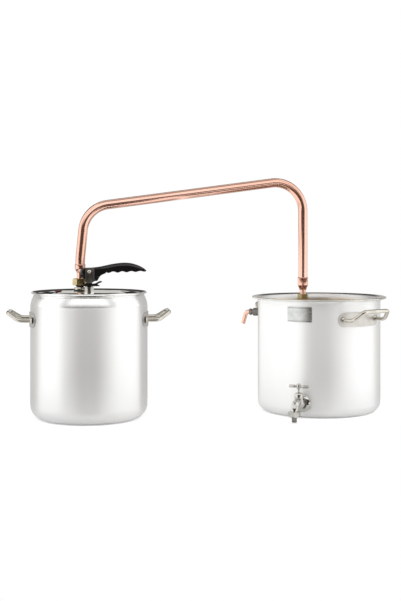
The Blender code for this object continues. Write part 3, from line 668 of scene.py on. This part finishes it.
def build_lid():
    """A shallow domed lid that seats from inside, its three holes, and the gasket round it."""
    lid_r = radius_x("lid")
    top_z = high_z("lid")
    edge_z = low_z("lid") + SHEET
    flat_r = 0.066
    top = [(0.0, top_z), (0.030, top_z), (flat_r - 0.004, top_z)]
    slope = moved([(-0.002, 0), (0.004, -0.0004), (0.014, -0.0030), (0.028, -0.0082)], flat_r, top_z)
    slope += moved([(-0.0135, 0.0010), (-0.0105, 0)], lid_r, edge_z)
    top += flowing(slope, 6)
    top += [(lid_r - 0.004, edge_z), (lid_r, edge_z)]
    profile = top + moved(reversed(top), 0, -DRAWN_SHEET)
    lid = replace("lid", revolve(profile, 128, sharp=50), MIRROR_STEEL, on_boiler())
    for at, radius in ((BOILER, 0.0063), (BOILER_UNION, 0.0083), (middle("safety_plug"), 0.0063)):
        cut(lid, rod_mesh(radius, top_z - 0.03, top_z + 0.02), spot((at.x, at.y, 0)))
    gasket_low, gasket_high = low_z("lid_gasket"), high_z("lid_gasket")
    ring = softened([(lid_r, gasket_high - 0.001), (lid_r, gasket_low), (lid_r - 0.0105, gasket_low),
                     (lid_r - 0.0055, gasket_low + 0.004), (lid_r - 0.0055, gasket_high - 0.003),
                     (lid_r - 0.002, gasket_high)], 0.0012, 3, True)
    replace("lid_gasket", revolve(ring, 128, True), RUBBER, on_boiler())


def round_ended(s):
    """The share of a handle plate's height left at s, which runs from -1 to 1 along it."""
    past = abs(s) * HANDLE_PLATE_REACH - (HANDLE_PLATE_REACH - HANDLE_PLATE_RISE)
    return math.sqrt(max(0.0, 1 - (max(past, 0.0) / HANDLE_PLATE_RISE) ** 2))


def straight_edged(s):
    return 1.0


def build_handle(prefix, suffix, centre, turn, wall_r, rise):
    """A plate welded to the wall and a rod bent out and up by rise, with a weld at each foot."""
    plate_node = f"{prefix}_handle_plate_{suffix}"
    rod_node = f"{prefix}_handle_rod_{suffix}"
    plate_r = wall_r + PLATE_GAP
    place = spot((centre.x, centre.y, middle(plate_node).z), turn)
    plate = wall_plate(plate_r, HANDLE_PLATE_REACH, HANDLE_PLATE_RISE, HANDLE_PLATE, round_ended)
    replace(plate_node, plate, PLATE_STEEL, place)
    foot = 0.0490
    grip = 0.0360
    start = math.sqrt((plate_r + HANDLE_PLATE) ** 2 - (foot - ROD_R) ** 2) - 0.0008
    side = [(start, foot, 0), (wall_r + 0.024, foot, 0), (wall_r + 0.0475, grip, rise)]
    route = rounded(side + [(x, -y, z) for x, y, z in reversed(side)], (0.024, 0.010, 0.010, 0.024))
    replace(rod_node, tube_mesh(route, ROD_R, 28), BRIGHT_STEEL, place)
    weld = moved([(-0.0005, 0.0030), (0.0006, 0.0026), (0.0026, 0.0004), (0.0030, -0.0008),
                  (-0.0005, -0.0008)], ROD_R, 0)
    weld = softened(weld, 0.0006, 3, True)
    for sign, side_name in ((1, "a"), (-1, "b")):
        at = place @ Matrix.Translation((start + 0.0010, sign * foot, 0))
        add(f"{rod_node}_weld_{side_name}", revolve(weld, 32, True), BRIGHT_STEEL, at @ TIP_X, rod_node)


def build_handles():
    """Bent rods on welded plates: two on the boiler in line with the lever, two on the condenser."""
    rise = high_z("boiler_handle_rod_right") - middle("boiler_handle_plate_right").z - ROD_R
    for suffix, extra in (("left", math.pi), ("right", 0.0)):
        build_handle("boiler", suffix, BOILER, LEVER_TURN + extra, BOILER_R, rise)
    rise = high_z("condenser_handle_rod_front") - middle("condenser_handle_plate_front").z - ROD_R
    for suffix in ("front", "back"):
        turn = condenser_bearing(middle(f"condenser_handle_rod_{suffix}"))
        build_handle("condenser", suffix, CONDENSER, turn, CONDENSER_R, rise)


# ---------------------------------------------------------------- lid clamp


def arched_strip(section, half, foot_z, crown_z):
    """A section swept along Y, arched so that its base climbs from foot_z to crown_z."""
    work = bmesh.new()
    rings = []
    steps = 48
    for i in range(steps + 1):
        y = -half + 2 * half * i / steps
        lift = 1 - (y / half) ** 2
        base = foot_z + (crown_z - foot_z) * lift
        slope = -2 * (crown_z - foot_z) * y / half**2
        normal = Vector((0, -slope, 1)).normalized()
        size = 0.7 + 0.3 * lift
        rings.append([work.verts.new(Vector((x, y, base)) + normal * up * size) for x, up in section])
    for first, second in zip(rings, rings[1:]):
        bridge(work, first, second)
    work.faces.new(rings[0])
    work.faces.new(rings[-1])
    return finished(work, "strip", 40)


def build_strongback():
    """An arched channel across the mouth: raised side ribs, and a dark steel sheet in its middle as
    painted shade.
    """
    half = 0.1265
    foot_z = low_z("strongback_bar")
    top_z = high_z("strongback_bar")
    crown_z = top_z - 0.005
    section = [(-0.0100, 0.0), (-0.0100, 0.0040), (-0.0092, 0.0049), (-0.0062, 0.0050),
               (-0.0044, 0.0044), (-0.0037, 0.0033), (0.0037, 0.0033), (0.0044, 0.0044),
               (0.0062, 0.0050), (0.0092, 0.0049), (0.0100, 0.0040), (0.0100, 0.0)]
    # Painted shade: a dark steel sheet laid in the middle of the channel.
    shade_lining = [(-0.0034, 0.0008), (-0.0034, 0.0035), (0.0034, 0.0035), (0.0034, 0.0008)]
    place = on_boiler(LEVER_TURN)
    bar = replace("strongback_bar", arched_strip(section, half, foot_z, crown_z), CAST_METAL, place)
    sunk_shade = add("strongback_bar_channel_shade", arched_strip(shade_lining, half + 0.0004, foot_z, crown_z),
               DARK_STEEL, place, "strongback_bar")
    for piece in (bar, sunk_shade):
        cut(piece, rod_mesh(0.0072, top_z - 0.02, top_z + 0.02), place)


def build_cam_pad():
    """The black pad that the cams press on, with its beak under the lever."""
    low = low_z("cam_pad")
    top = middle("lever_cam_plate_front").z - 0.0098
    pad_top = PIVOT.z - 0.0277
    outline = flowing([(-0.0108, low + 0.0002), (0.0050, low), (0.0215, low), (0.0236, low + 0.0009),
                       (0.0190, low + 0.0034), (0.0215, low + 0.0062), (0.0290, low + 0.0096),
                       (0.0240, low + 0.0109), (0.0130, pad_top + 0.0002), (0.0040, pad_top),
                       (-0.0108, pad_top)], 4, True)
    place = on_boiler(LEVER_TURN)
    pad = replace("cam_pad", slab(outline, 0.0256, 0.0009), BLACK_PLASTIC, place)
    cut(pad, rod_mesh(0.0082, top - 0.03, top + 0.03), place)


def lever_side():
    """Side view about the pivot: the crown from tip to cam, then the underside back to the tip."""
    crown = flowing([(0.1305, 0.0012), (0.1262, 0.0055), (0.1195, 0.0098), (0.1100, 0.0143),
                     (0.0967, 0.0183), (0.0830, 0.0198), (0.0690, 0.0192), (0.0535, 0.0171),
                     (0.0420, 0.0148), (0.0240, 0.0110), (0.0080, 0.0090), (-0.0034, 0.0085),
                     (-0.0130, 0.0082), (-0.0178, 0.0062), (-0.0198, 0.0020), (-0.0205, -0.0040),
                     (-0.0190, -0.0095), (-0.0135, -0.0178), (-0.0080, -0.0240)], 4)
    under = flowing([(0.0180, -0.0215), (0.0200, -0.0188), (0.0224, -0.0142), (0.0255, -0.0102),
                     (0.0305, -0.0069), (0.0370, -0.0045)], 4)
    for k in range(1, 66):
        x = 0.0370 + 0.00138 * k
        wave = 0.0015 * math.cos(2 * math.pi * (x - 0.0440) / 0.0205)
        under.append((x, -0.0022 + 0.0028 * (x - 0.0370) / 0.09 - wave))
    return crown, under


def moulded(crown, under, width, crown_round, under_round):
    """A bar of that side view across Y, its crown and underside rounded towards both sides."""
    work = bmesh.new()
    outline = crown + under
    half = width / 2
    layers = []
    steps = 16
    for i in range(steps + 1):
        y = -half * math.cos(math.pi * i / steps)
        layer = []
        for k, (x, z) in enumerate(outline):
            radius = crown_round if k < len(crown) else under_round
            past = min(max(abs(y) - (half - radius), 0.0) / radius, 1.0)
            drop = radius * (1 - math.sqrt(1 - past * past))
            core = Vector((min(max(x, -0.0120), 0.1240), min(max(z * 0.45, -0.012), 0.0085)))
            inward = core - Vector((x, z))
            move = inward.normalized() * min(drop, inward.length * 0.8)
            layer.append(work.verts.new((x + move.x, y, z + move.y)))
        layers.append(layer)
    for first, second in zip(layers, layers[1:]):
        bridge(work, first, second)
    work.faces.new(layers[0])
    work.faces.new(list(reversed(layers[-1])))
    return finished(work, "moulded", 40)


def build_lever():
    """The black lever, slotted for the stud's eye, its two steel cam plates and the pivot pin."""
    width = 0.0212
    plate_thick = 0.0015
    place = spot(PIVOT, LEVER_TURN)
    crown, under = lever_side()
    lever = replace("lever_handle", moulded(crown, under, width, 0.0075, 0.0025), BLACK_PLASTIC, place)
    slot = slab([(-0.026, -0.040), (0.018, -0.040), (0.018, 0.020), (-0.026, 0.020)], 0.0068, 0)
    cut(lever, slot, place)
    outline = softened([(-0.0080, 0.0078), (-0.0085, -0.0200), (-0.0068, -0.0245),
                        (-0.0035, -0.0262), (0.0010, -0.0267), (0.0060, -0.0256),
                        (0.0113, -0.0225), (0.0113, 0.0078)], 0.0025, 4, True)
    for suffix, y in (("front", -1), ("back", 1)):
        offset = Matrix.Translation((0, y * (width / 2 + GAP + plate_thick / 2), 0))
        replace("lever_cam_plate_" + suffix, slab(outline, plate_thick, 0.0005), DARK_STEEL,
                place @ offset)
    half = width / 2 + plate_thick + 2 * GAP
    head = moved([(0, 0.0018), (0.0016, 0.0016), (0.0031, 0.0010), (0.0040, 0.0001), (0.0028, 0)],
                 0, half)
    pin = revolve(head + [(r, -y) for r, y in reversed(head)], 40)
    replace("pivot_pin", pin, BRIGHT_STEEL, place @ TIP_Y)


def build_stud():
    """The threaded stud through the lid, with its collar, and its eye round the pivot pin."""
    low, high = low_z("lid_stud"), high_z("lid_stud")
    lid_top = high_z("lid")
    collar = lid_top + GAP
    neck_top = PIVOT.z - 0.0285
    profile = [(0, neck_top), (0.006, neck_top), (0.006, collar + 0.0060),
               (0.0090, collar + 0.0056), (0.0095, collar + 0.0048), (0.0095, collar)]
    thread_top = lid_top - 0.002
    profile += [(0.006, collar), (0.006, thread_top)]
    pitch = 0.00125
    turns = int((thread_top - low - 0.001) / pitch)
    profile += thread(0.0053, 0.0059, thread_top - pitch / 2, pitch, turns)
    profile += [(0.0050, low), (0, low)]
    stud = replace("lid_stud", revolve(profile, 40), BRIGHT_STEEL, on_boiler(LEVER_TURN))
    eye_r = high - PIVOT.z
    eye = [(-0.0062, -0.0315), (0.0062, -0.0315)] + arc((0, 0), eye_r, 0, 180, 20)
    cut(stud, slab(eye, 0.006, 0.0004), spot(PIVOT, LEVER_TURN), "UNION")


def build_plug():
    low, high = low_z("safety_plug"), high_z("safety_plug")
    at = middle("safety_plug")
    profile = softened([(0, high), (0.0060, high - 0.0001), (0.0084, high - 0.0010),
                        (0.0090, high - 0.0025), (0.0060, high - 0.0025), (0.0058, low + 0.001),
                        (0.0045, low), (0, low)], 0.0007)
    replace("safety_plug", revolve(profile, 48), PLUG_RUBBER, spot((at.x, at.y, 0)))


# ---------------------------------------------------------------- nuts, unions and the arm


def build_nut(node, across_r, bore, low, high, place, material=BRASS):
    """A chamfered hex nut in place of a CAD nut; bore is the profile of what is cut from it."""
    prism, cone = hex_nut(across_r, low, high)
    nut = replace(node, prism, material, place)
    cut(nut, cone, place, "INTERSECT")
    cut(nut, revolve(bore, 48), place)


def build_unions():
    """The union nuts at the ends of the arm and the threaded fittings that they close on."""
    for node, across_r, cavity_r in (("union_nut_boiler", 0.0175, 0.0113),
                                     ("union_nut_condenser", 0.0134, 0.0102)):
        half = half_height(node)
        bore = [(0, half + 0.001), (STUB_R + GAP, half + 0.001), (STUB_R + GAP, half - 0.0022),
                (cavity_r, half - 0.0022), (cavity_r, -half - 0.001), (0, -half - 0.001)]
        build_nut(node, across_r, bore, -half, half, spot(middle(node)))
    pitch = 0.0015
    seat = high_z("lid") + GAP
    low, mouth = low_z("lid_fitting"), high_z("lid_fitting")
    profile = [(0.0105, mouth)] + thread(0.0105, 0.0098, mouth - 0.0007, pitch, 7)
    profile.append((0.0088, mouth - 0.0119))
    profile += moved([(0.0088, 0.0080), (0.0130, 0.0074), (0.0135, 0.0066), (0.0135, 0.0017),
                      (0.0080, 0.0017)], 0, seat)
    profile += [(0.0080, low), (0.0062, low), (0.0062, mouth - 0.009), (0.0080, mouth - 0.009),
                (0.0080, mouth)]
    replace("lid_fitting", revolve(profile, 56, True), BRIGHT_STEEL,
            spot((BOILER_UNION.x, BOILER_UNION.y, 0)))
    low, mouth = low_z("coil_inlet_fitting"), high_z("coil_inlet_fitting")
    profile = [(0.0094, mouth)] + thread(0.0094, 0.0088, mouth - 0.0007, pitch, 7)
    profile += moved([(0.0088, 0.0096), (0.0122, 0.0088), (0.0125, 0.0080), (0.0125, 0.0012),
                      (0.0105, 0), (COIL_TUBE_R + GAP, 0), (COIL_TUBE_R + GAP, 0.0065),
                      (0.0040, 0.0065), (0.0040, 0.0155), (0.0080, 0.0155)], 0, low)
    profile.append((0.0080, mouth))
    replace("coil_inlet_fitting", revolve(profile, 56, True), BRASS,
            spot((CONDENSER_UNION.x, CONDENSER_UNION.y, 0)))


def build_reducer(node, cone_low):
    """A soldered step from the wide tube to the narrow one; its cone starts at cone_low."""
    at = middle(node)
    height = high_z(node) - low_z(node)
    cone_high = cone_low + 0.006
    outer = flowing([(0.0122, cone_high + 0.002), (0.0120, cone_high), (0.0106, cone_low + 0.0028),
                     (0.0093, cone_low + 0.0006), (0.0090, cone_low - 0.0006)], 5)
    profile = [(TUBE_R + GAP, height), (0.0121, height), (0.0126, height - 0.0005),
               (0.0126, height - 0.0013), (0.0122, height - 0.0020)] + outer
    profile += [(0.0090, 0.0004), (0.0086, 0), (STUB_R + GAP, 0), (STUB_R + GAP, cone_low + 0.001),
                (TUBE_R + GAP, cone_high)]
    place = spot((at.x, at.y, low_z(node)))
    replace(node, revolve(profile, 64, True, 50), COPPER, place)
    for name, radius, z, sign in (("top", TUBE_R, height, 1), ("foot", STUB_R, 0.0, -1)):
        fillet = [(radius + 0.0001, sign * 0.0010), (radius + 0.0008, sign * 0.0006),
                  (radius + 0.0014, sign * 0.0001), (radius + 0.0001, sign * 0.0001)]
        add(f"{node}_solder_{name}", revolve(fillet, 48, True), SOLDER,
            place @ Matrix.Translation((0, 0, z)), node)


def build_arm():
    """The bent tube, on the same straight runs and bends as the CAD arm."""
    arm_y = middle("vapour_arm").y
    start_z = low_z("reducer_boiler") + 0.0105
    end_z = low_z("reducer_condenser") + 0.0130
    low_corner = (BOILER_UNION.x + 0.0117, arm_y, 0.4776)
    high_corner = (CONDENSER_UNION.x, arm_y, 0.5490)
    corners = [(BOILER_UNION.x, arm_y, start_z), (BOILER_UNION.x, arm_y, 0.357), low_corner,
               high_corner, (CONDENSER_UNION.x, arm_y, end_z)]
    route = rounded(corners, (0.20, 0.066, 0.068), 24)
    replace("vapour_arm", tube_mesh(route, TUBE_R, 48, TUBE_WALL), COPPER, Matrix())
    build_reducer("reducer_boiler", 0.0015)
    build_reducer("reducer_condenser", 0.0030)
    for node in ("arm_stub_boiler", "arm_stub_condenser"):
        at = middle(node)
        route = [(at.x, at.y, low_z(node)), (at.x, at.y, high_z(node))]
        replace(node, tube_mesh(route, STUB_R, 48, TUBE_WALL), COPPER, Matrix())


# ---------------------------------------------------------------- condenser fittings


def build_coil():
    """Down from the inlet, out along a spiral, six turns down, and out through the wall."""
    start_x = CONDENSER_UNION.x - CONDENSER.x
    start_y = CONDENSER_UNION.y - CONDENSER.y
    start_angle = math.degrees(math.atan2(start_y, start_x))
    start_r = math.hypot(start_x, start_y)
    coil_r, top_z, outlet_turn, out_z = 0.098, 0.220, 60.0, middle("outlet_fitting").z
    lead_out = 35  # degrees of turn over which the coil straightens towards the outlet
    lead_in = 130.0
    end_angle = outlet_turn - lead_out + 360 * 6
    helix_start = start_angle + lead_in
    spiral = []
    for k in range(1, 33):
        share = k / 32
        angle = math.radians(start_angle + lead_in * share)
        radius = start_r + (coil_r - start_r) * share * share * (3 - 2 * share)
        spiral.append(Vector((radius * math.cos(angle), radius * math.sin(angle), top_z)))
    top = Vector((start_x, start_y, 0.2478))
    corner = Vector((start_x, start_y, top_z + 0.001))
    route = rounded([top, corner, spiral[7]], (0.012,), 10)[:-1] + spiral[7:]
    turns = (end_angle - helix_start) / 360
    count = int(turns * 40)
    for k in range(1, count + 1):
        share = k / count
        angle = math.radians(helix_start + 360 * turns * share)
        route.append(Vector((coil_r * math.cos(angle), coil_r * math.sin(angle),
                             top_z + (out_z - top_z) * share)))
    out = Vector((math.cos(math.radians(outlet_turn)), math.sin(math.radians(outlet_turn)), 0))
    bend = out * coil_r / math.cos(math.radians(lead_out)) + Vector((0, 0, out_z))
    end = out * (CONDENSER_R - 0.0143) + Vector((0, 0, out_z))
    route += rounded([route[-1], bend, end], (0.012,), 8)[1:]
    replace("condenser_coil", tube_mesh(route, COIL_TUBE_R, 20, TUBE_WALL), COPPER, on_condenser())


def build_wall_fitting(prefix, route, body_material):
    """A fitting through the condenser's wall, its two nuts, and a spout bent along the route."""
    at = middle(prefix + "_fitting")
    turn = condenser_bearing(at)
    place = on_condenser(at.z, turn)
    start = CONDENSER_R
    bore = COIL_TUBE_R + GAP
    profile = moved([(bore, 0.0200), (0.0064, 0.0200), (0.0064, 0.0172), (0.0095, 0.0160),
                     (0.0095, 0.0022), (0.0078, 0.0022), (0.0078, -0.0140), (bore, -0.0140)], 0, start)
    profile = softened(profile, 0.0007, 3, True)
    replace(prefix + "_fitting", revolve(profile, 48, True), body_material, place @ TIP_X)
    for name, across_r, bore_r, material, low, high in (
            ("_back_nut", 0.0125, 0.0081, BRASS, -0.0085, -0.0028),
            ("_collar", 0.0078, bore, body_material, 0.0203, 0.0265)):
        build_nut(prefix + name, across_r, rod_profile(bore_r, 0.0, 0.3), start + low, start + high,
                  place @ TIP_X, material)
    corners = [(start + x, 0, z) for x, z in route]
    replace(prefix + "_spout", tube_mesh(rounded(corners, (0.009,), 16), COIL_TUBE_R, 32, TUBE_WALL),
            COPPER, place)


def build_label():
    """A blank plate with a thin rule near its top and its foot."""
    at = middle("label_plate")
    place = on_condenser(at.z, condenser_bearing(at))
    radius = CONDENSER_R + PLATE_GAP
    thickness = 0.0008
    replace("label_plate", wall_plate(radius, 0.0290, 0.017, thickness, straight_edged),
            LABEL_STEEL, place)
    for name, z in (("top", 0.0148), ("foot", -0.0148)):
        bar = wall_plate(radius + thickness, 0.0270, 0.0005, 0.0002, straight_edged)
        add("label_rule_" + name, bar, GREY_METAL, place @ Matrix.Translation((0, 0, z)), "label_plate")


def build_tap():
    """A bib tap: flange, inlet, barrel and bent nose, then its bonnet, spindle and T-handle."""
    wall = on_condenser(turn=TAP_TURN)
    inlet = wall @ Matrix.Translation((0, 0, middle("tap_flange").z)) @ TIP_X
    start = CONDENSER_R
    barrel = math.hypot(TAP_SPINDLE.x - CONDENSER.x, TAP_SPINDLE.y - CONDENSER.y)
    nose = math.hypot(TAP_NOSE.x - CONDENSER.x, TAP_NOSE.y - CONDENSER.y)
    barrel_at = wall @ Matrix.Translation((barrel, 0, 0))
    nose_at = wall @ Matrix.Translation((nose, 0, 0))
    profile = moved([(0, 0.0320), (0.0085, 0.0320), (0.0085, 0.0200), (0.0098, 0.0190),
                     (0.0098, 0.0105), (0.0090, 0.0100), (0.0100, 0.0085), (0.0100, -0.0140),
                     (0, -0.0140)], 0, start)
    body = replace("tap_body", revolve(softened(profile, 0.001), 48), CHROME, inlet)
    side = flowing([(0.0098, 0.0530), (0.0102, 0.0515), (0.0092, 0.0495), (0.0098, 0.0470),
                    (0.0112, 0.0420), (0.0108, 0.0350), (0.0085, 0.0295), (0.0040, 0.0268)], 4)
    cut(body, revolve([(0, 0.0530)] + side + [(0, 0.0265)], 48), barrel_at, "UNION")
    corners = [(start + 0.030, 0, 0.0440), (nose, 0, 0.0415), (nose, 0, 0.0215)]
    cut(body, tube_mesh(rounded(corners, (0.015,), 16), 0.0084, 40), wall, "UNION")
    cut(body, rod_mesh(0.0052, 0.0420, 0.0600), barrel_at)
    cut(body, rod_mesh(0.0050, 0.0150, 0.0330), nose_at)
    cut(body, rod_mesh(0.0068, start - 0.02, start + 0.022), inlet)
    flange = moved([(0.0103, 0.0082), (0.0135, 0.0080), (0.0160, 0.0070), (0.0192, 0.0050),
                    (0.0200, 0.0040), (0.0200, 0.0025), (0.0103, 0.0025)], 0, start)
    replace("tap_flange", revolve(softened(flange, 0.001, 4, True), 64, True), CHROME, inlet)
    bonnet = flowing([(0.0042, 0.0640), (0.0068, 0.0634), (0.0090, 0.0615), (0.0099, 0.0588),
                      (0.0098, 0.0560), (0.0099, 0.0534)], 5)
    bonnet = [(0.0033, 0.0640)] + bonnet + [(0.0033, 0.0534)]
    replace("tap_bonnet", revolve(bonnet, 48, True), CHROME, barrel_at)
    spindle = [(0, 0.0712), (0.0028, 0.0712), (0.0028, 0.0690), (0.0024, 0.0686), (0.0024, 0.0678),
               (0.0028, 0.0674), (0.0028, 0.0500), (0.0046, 0.0495), (0.0046, 0.0450), (0, 0.0450)]
    replace("tap_spindle", revolve(spindle, 32), CHROME, barrel_at)
    build_tap_handle(barrel_at)
    bore = [(0, 0.02), (0.0090, 0.02), (0.0090, -0.0032), (0.0069, -0.0032), (0.0069, -0.02),
            (0, -0.02)]
    half = half_height("hose_nut")
    build_nut("hose_nut", 0.0145, bore, -half, half, spot(middle("hose_nut"), TAP_TURN), CHROME)
    barb = [(0.0083, 0.0211), (0.0083, 0.0181), (0.0062, 0.0181), (0.0062, 0.0148)]
    for ridge in range(4):
        top = 0.0140 - 0.0027 * ridge
        barb += [(0.0051, top), (0.0064, top - 0.0004), (0.0060, top - 0.0014)]
    barb += [(0.0050, 0.0030), (0.0036, 0.0030), (0.0036, 0.0211)]
    replace("hose_barb", revolve(barb, 48, True), CHROME, nose_at)
    screw = revolve([(0, 0.0006), (0.0014, 0.0005), (0.0018, 0.0), (0.0018, -0.002), (0, -0.002)], 24)
    add("tap_body_screw", screw, DARK_STEEL, nose_at @ Matrix.Translation((0.0080, 0, 0.0335)) @ TIP_X,
        "tap_body")


def build_tap_handle(place):
    """A domed boss on the spindle with a round bar through it."""
    boss = flowing([(0.0002, 0.0838), (0.0030, 0.0836), (0.0050, 0.0822), (0.0056, 0.0795),
                    (0.0054, 0.0755), (0.0042, 0.0725), (0.0036, 0.0715)], 5)
    handle = replace("tap_handle", revolve([(0, 0.0838)] + boss + [(0, 0.0715)], 40), CHROME, place)
    half = 0.0225
    bar = flowing([(0.0024, 0.0070), (0.0026, 0.0080), (0.0035, 0.0092), (0.0034, half - 0.0020),
                   (0.0029, half - 0.0006), (0.0012, half)], 4)
    cross = revolve([(0, half)] + list(reversed(bar)) + [(r, -y) for r, y in bar] + [(0, -half)], 32)
    cut(handle, cross, place @ Matrix.Translation((0, 0, 0.0774)) @ TIP_Y, "UNION")


def finish_other_nodes():
    """CAD nodes that keep their own mesh take the material of their slot."""
    for name, obj in frame["nodes"].items():
        obj.data.materials.clear()
        obj.data.materials.append(BY_SLOT[SLOT_OF[name]])


# ---------------------------------------------------------------- stage, light and camera


def build_stage():
    """A small pale table top under the two pots."""
    around = CONDENSER_RIM_R + FLOOR_REACH
    outline = arc((CONDENSER.x, 0), around, -90, 90, 48) + arc((BOILER.x, 0), around, 90, 270, 48)
    mesh = bpy.data.meshes.new("floor")
    mesh.from_pydata([(x, y, 0) for x, y in outline], [], [list(range(len(outline)))])
    floor = link_object("floor", mesh)
    floor.location.z = FLOOR_Z
    material, tree = new_material("studio_floor")
    shader = tree.nodes["Principled BSDF"]
    speckle = link_noise(tree, 14.0, EVEN)
    tone = mix_colours(tree, speckle, (0.94, 0.94, 0.94), (0.92, 0.92, 0.92))
    path = tree.nodes.new("ShaderNodeLightPath")
    glow = math_node(tree, "MULTIPLY", path.outputs["Is Camera Ray"], FLOOR_GLOW)
    feed(tree, shader.inputs["Base Color"], tone)
    feed(tree, shader.inputs["Emission Strength"], glow)
    shader.inputs["Roughness"].default_value = 0.9
    shader.inputs["Emission Color"].default_value = (1, 1, 1, 1)
    mesh.materials.append(material)


def build_light():
    """A studio seen by direction: bright sides, a dim end behind the camera, a dark far top."""
    world = bpy.data.worlds.new("studio")
    bpy.context.scene.world = world
    world.use_nodes = True
    tree = world.node_tree
    coord = tree.nodes.new("ShaderNodeTexCoord")
    turn = new_node(tree, "ShaderNodeMapping", {
        "Vector": coord.outputs["Generated"], "Rotation": (0, 0, math.radians(-DARK_SIDE_DEG))})
    parts = new_node(tree, "ShaderNodeSeparateXYZ", {"Vector": turn.outputs["Vector"]})
    azimuth = math_node(tree, "ABSOLUTE",
                        math_node(tree, "ARCTAN2", parts.outputs["Y"], parts.outputs["X"]))
    height = math_node(tree, "ARCSINE", parts.outputs["Z"])

    def rising(value, start_deg, end_deg):
        return eased(map_range(tree, value, math.radians(start_deg), math.radians(end_deg), 0, 1))

    def falling(value, start_deg, end_deg):
        return math_node(tree, "SUBTRACT", 1.0, rising(value, start_deg, end_deg))

    def both(first, second):
        return math_node(tree, "MULTIPLY", first, second)

    far_side = rising(azimuth, 109, 124)
    gap = both(both(rising(azimuth, 42, 47), falling(azimuth, 54, 59)),
               both(rising(height, 8, 14), falling(height, 56, 62)))
    layers = ((gap, (0.50, 0.50, 0.50)),
              (rising(height, 62, 72), (0.45, 0.44, 0.42)),
              (both(far_side, falling(height, 12, 24)), (0.62, 0.61, 0.58)),
              (both(far_side, both(rising(height, 12, 24), falling(height, 50, 62))),
               (0.10, 0.095, 0.09)))
    colour = STUDIO_WHITE
    for mask, tint in layers:
        colour = mix_colours(tree, mask, colour, tint)
    path = tree.nodes.new("ShaderNodeLightPath")
    backdrop = mix_colours(tree, path.outputs["Is Camera Ray"], colour, (1, 1, 1))
    feed(tree, tree.nodes["Background"].inputs["Color"], backdrop)


def card(name, corners, location, turn, colour, mask_of):
    """A glowing card that only lights and is reflected; mask_of(tree, x, z) is its solid share."""
    mesh = bpy.data.meshes.new(name)
    mesh.from_pydata(corners, [], [(0, 1, 2, 3)])
    obj = link_object(name, mesh)
    obj.location = location
    obj.rotation_euler = (0, 0, turn)
    obj.visible_camera = False
    obj.visible_diffuse = False
    obj.visible_shadow = False
    material, tree = new_material(name)
    coord = tree.nodes.new("ShaderNodeTexCoord")
    parts = new_node(tree, "ShaderNodeSeparateXYZ", {"Vector": coord.outputs["Object"]})
    clear = tree.nodes.new("ShaderNodeBsdfTransparent")
    glow = new_node(tree, "ShaderNodeEmission", {"Color": (*colour, 1)})
    blend = new_node(tree, "ShaderNodeMixShader", {
        "Fac": mask_of(tree, parts.outputs["X"], parts.outputs["Z"]),
        1: clear.outputs["BSDF"], 2: glow.outputs["Emission"]})
    feed(tree, tree.nodes["Material Output"].inputs["Surface"], blend.outputs["Shader"])
    mesh.materials.append(material)


def upright(left, right, foot, top):
    return [(left, 0, foot), (right, 0, foot), (right, 0, top), (left, 0, top)]


def dark_mask(tree, x, z):
    """Solid in the middle and below, narrowest at the height of the pots, soft at its edges."""
    above = map_range(tree, z, -0.30, 0.05, 1.0, 0.40)
    below = map_range(tree, z, -1.30, -0.75, 0.42, 1.0)
    narrowing = math_node(tree, "MULTIPLY", above, below)
    reach = math_node(tree, "MULTIPLY", math_node(tree, "ABSOLUTE", x), narrowing)
    across = eased(map_range(tree, reach, 0.90, 1.65, 1, 0))
    upward = eased(map_range(tree, z, 0.60, 1.40, 1, 0))
    return math_node(tree, "MULTIPLY", across, upward)


def soft_top(tree, x, z):
    return map_range(tree, z, 0.36, 0.43, 1, 0)


def build_cards():
    """A dark card behind the camera, and pale ones that keep each pot out of the other."""
    facing = math.atan2(-DARK_CARD_AT[0], DARK_CARD_AT[1]) + math.pi
    card("dark_card", upright(-4.6, 4.6, -3.2, 1.8), DARK_CARD_AT, facing, CARD_DARK, dark_mask)
    for name, x, near_end, far_end, colour in (("pale_card_right", 0.012, -0.30, 0.60, CARD_WHITE),
                                               ("pale_card_left", -0.012, -0.30, -0.03, CARD_WHITE),
                                               ("grey_card_left", -0.012, -0.03, 0.60, CARD_GREY)):
        card(name, upright(near_end, far_end, -0.02, 0.43), (x, 0, 0), math.pi / 2, colour, soft_top)


def build_camera():
    """Level, at the height of the arm, a little to the left, with the view shifted down."""
    data = bpy.data.cameras.new("camera")
    data.lens = CAMERA_LENS
    data.sensor_width = 36
    data.shift_y = CAMERA_SHIFT
    camera = link_object("camera", data)
    camera.location = CAMERA_AT
    camera.rotation_euler = (math.pi / 2, 0, math.radians(CAMERA_TURN_DEG))
    bpy.context.scene.camera = camera
    bpy.context.scene.view_settings.view_transform = "Standard"


finish_other_nodes()
build_boiler_pot()
build_condenser_pot()
build_lid()
build_handles()
build_strongback()
build_cam_pad()
build_lever()
build_stud()
build_plug()
build_unions()
build_arm()
build_coil()
build_wall_fitting("overflow", [(0.0040, 0), (0.0345, 0), (0.0425, -0.0285)], GREY_METAL)
build_wall_fitting("outlet", [(-0.0137, 0), (0.0400, 0), (0.0450, -0.0250)], GREY_METAL)
build_label()
build_tap()
build_stage()
build_light()
build_cards()
build_camera()
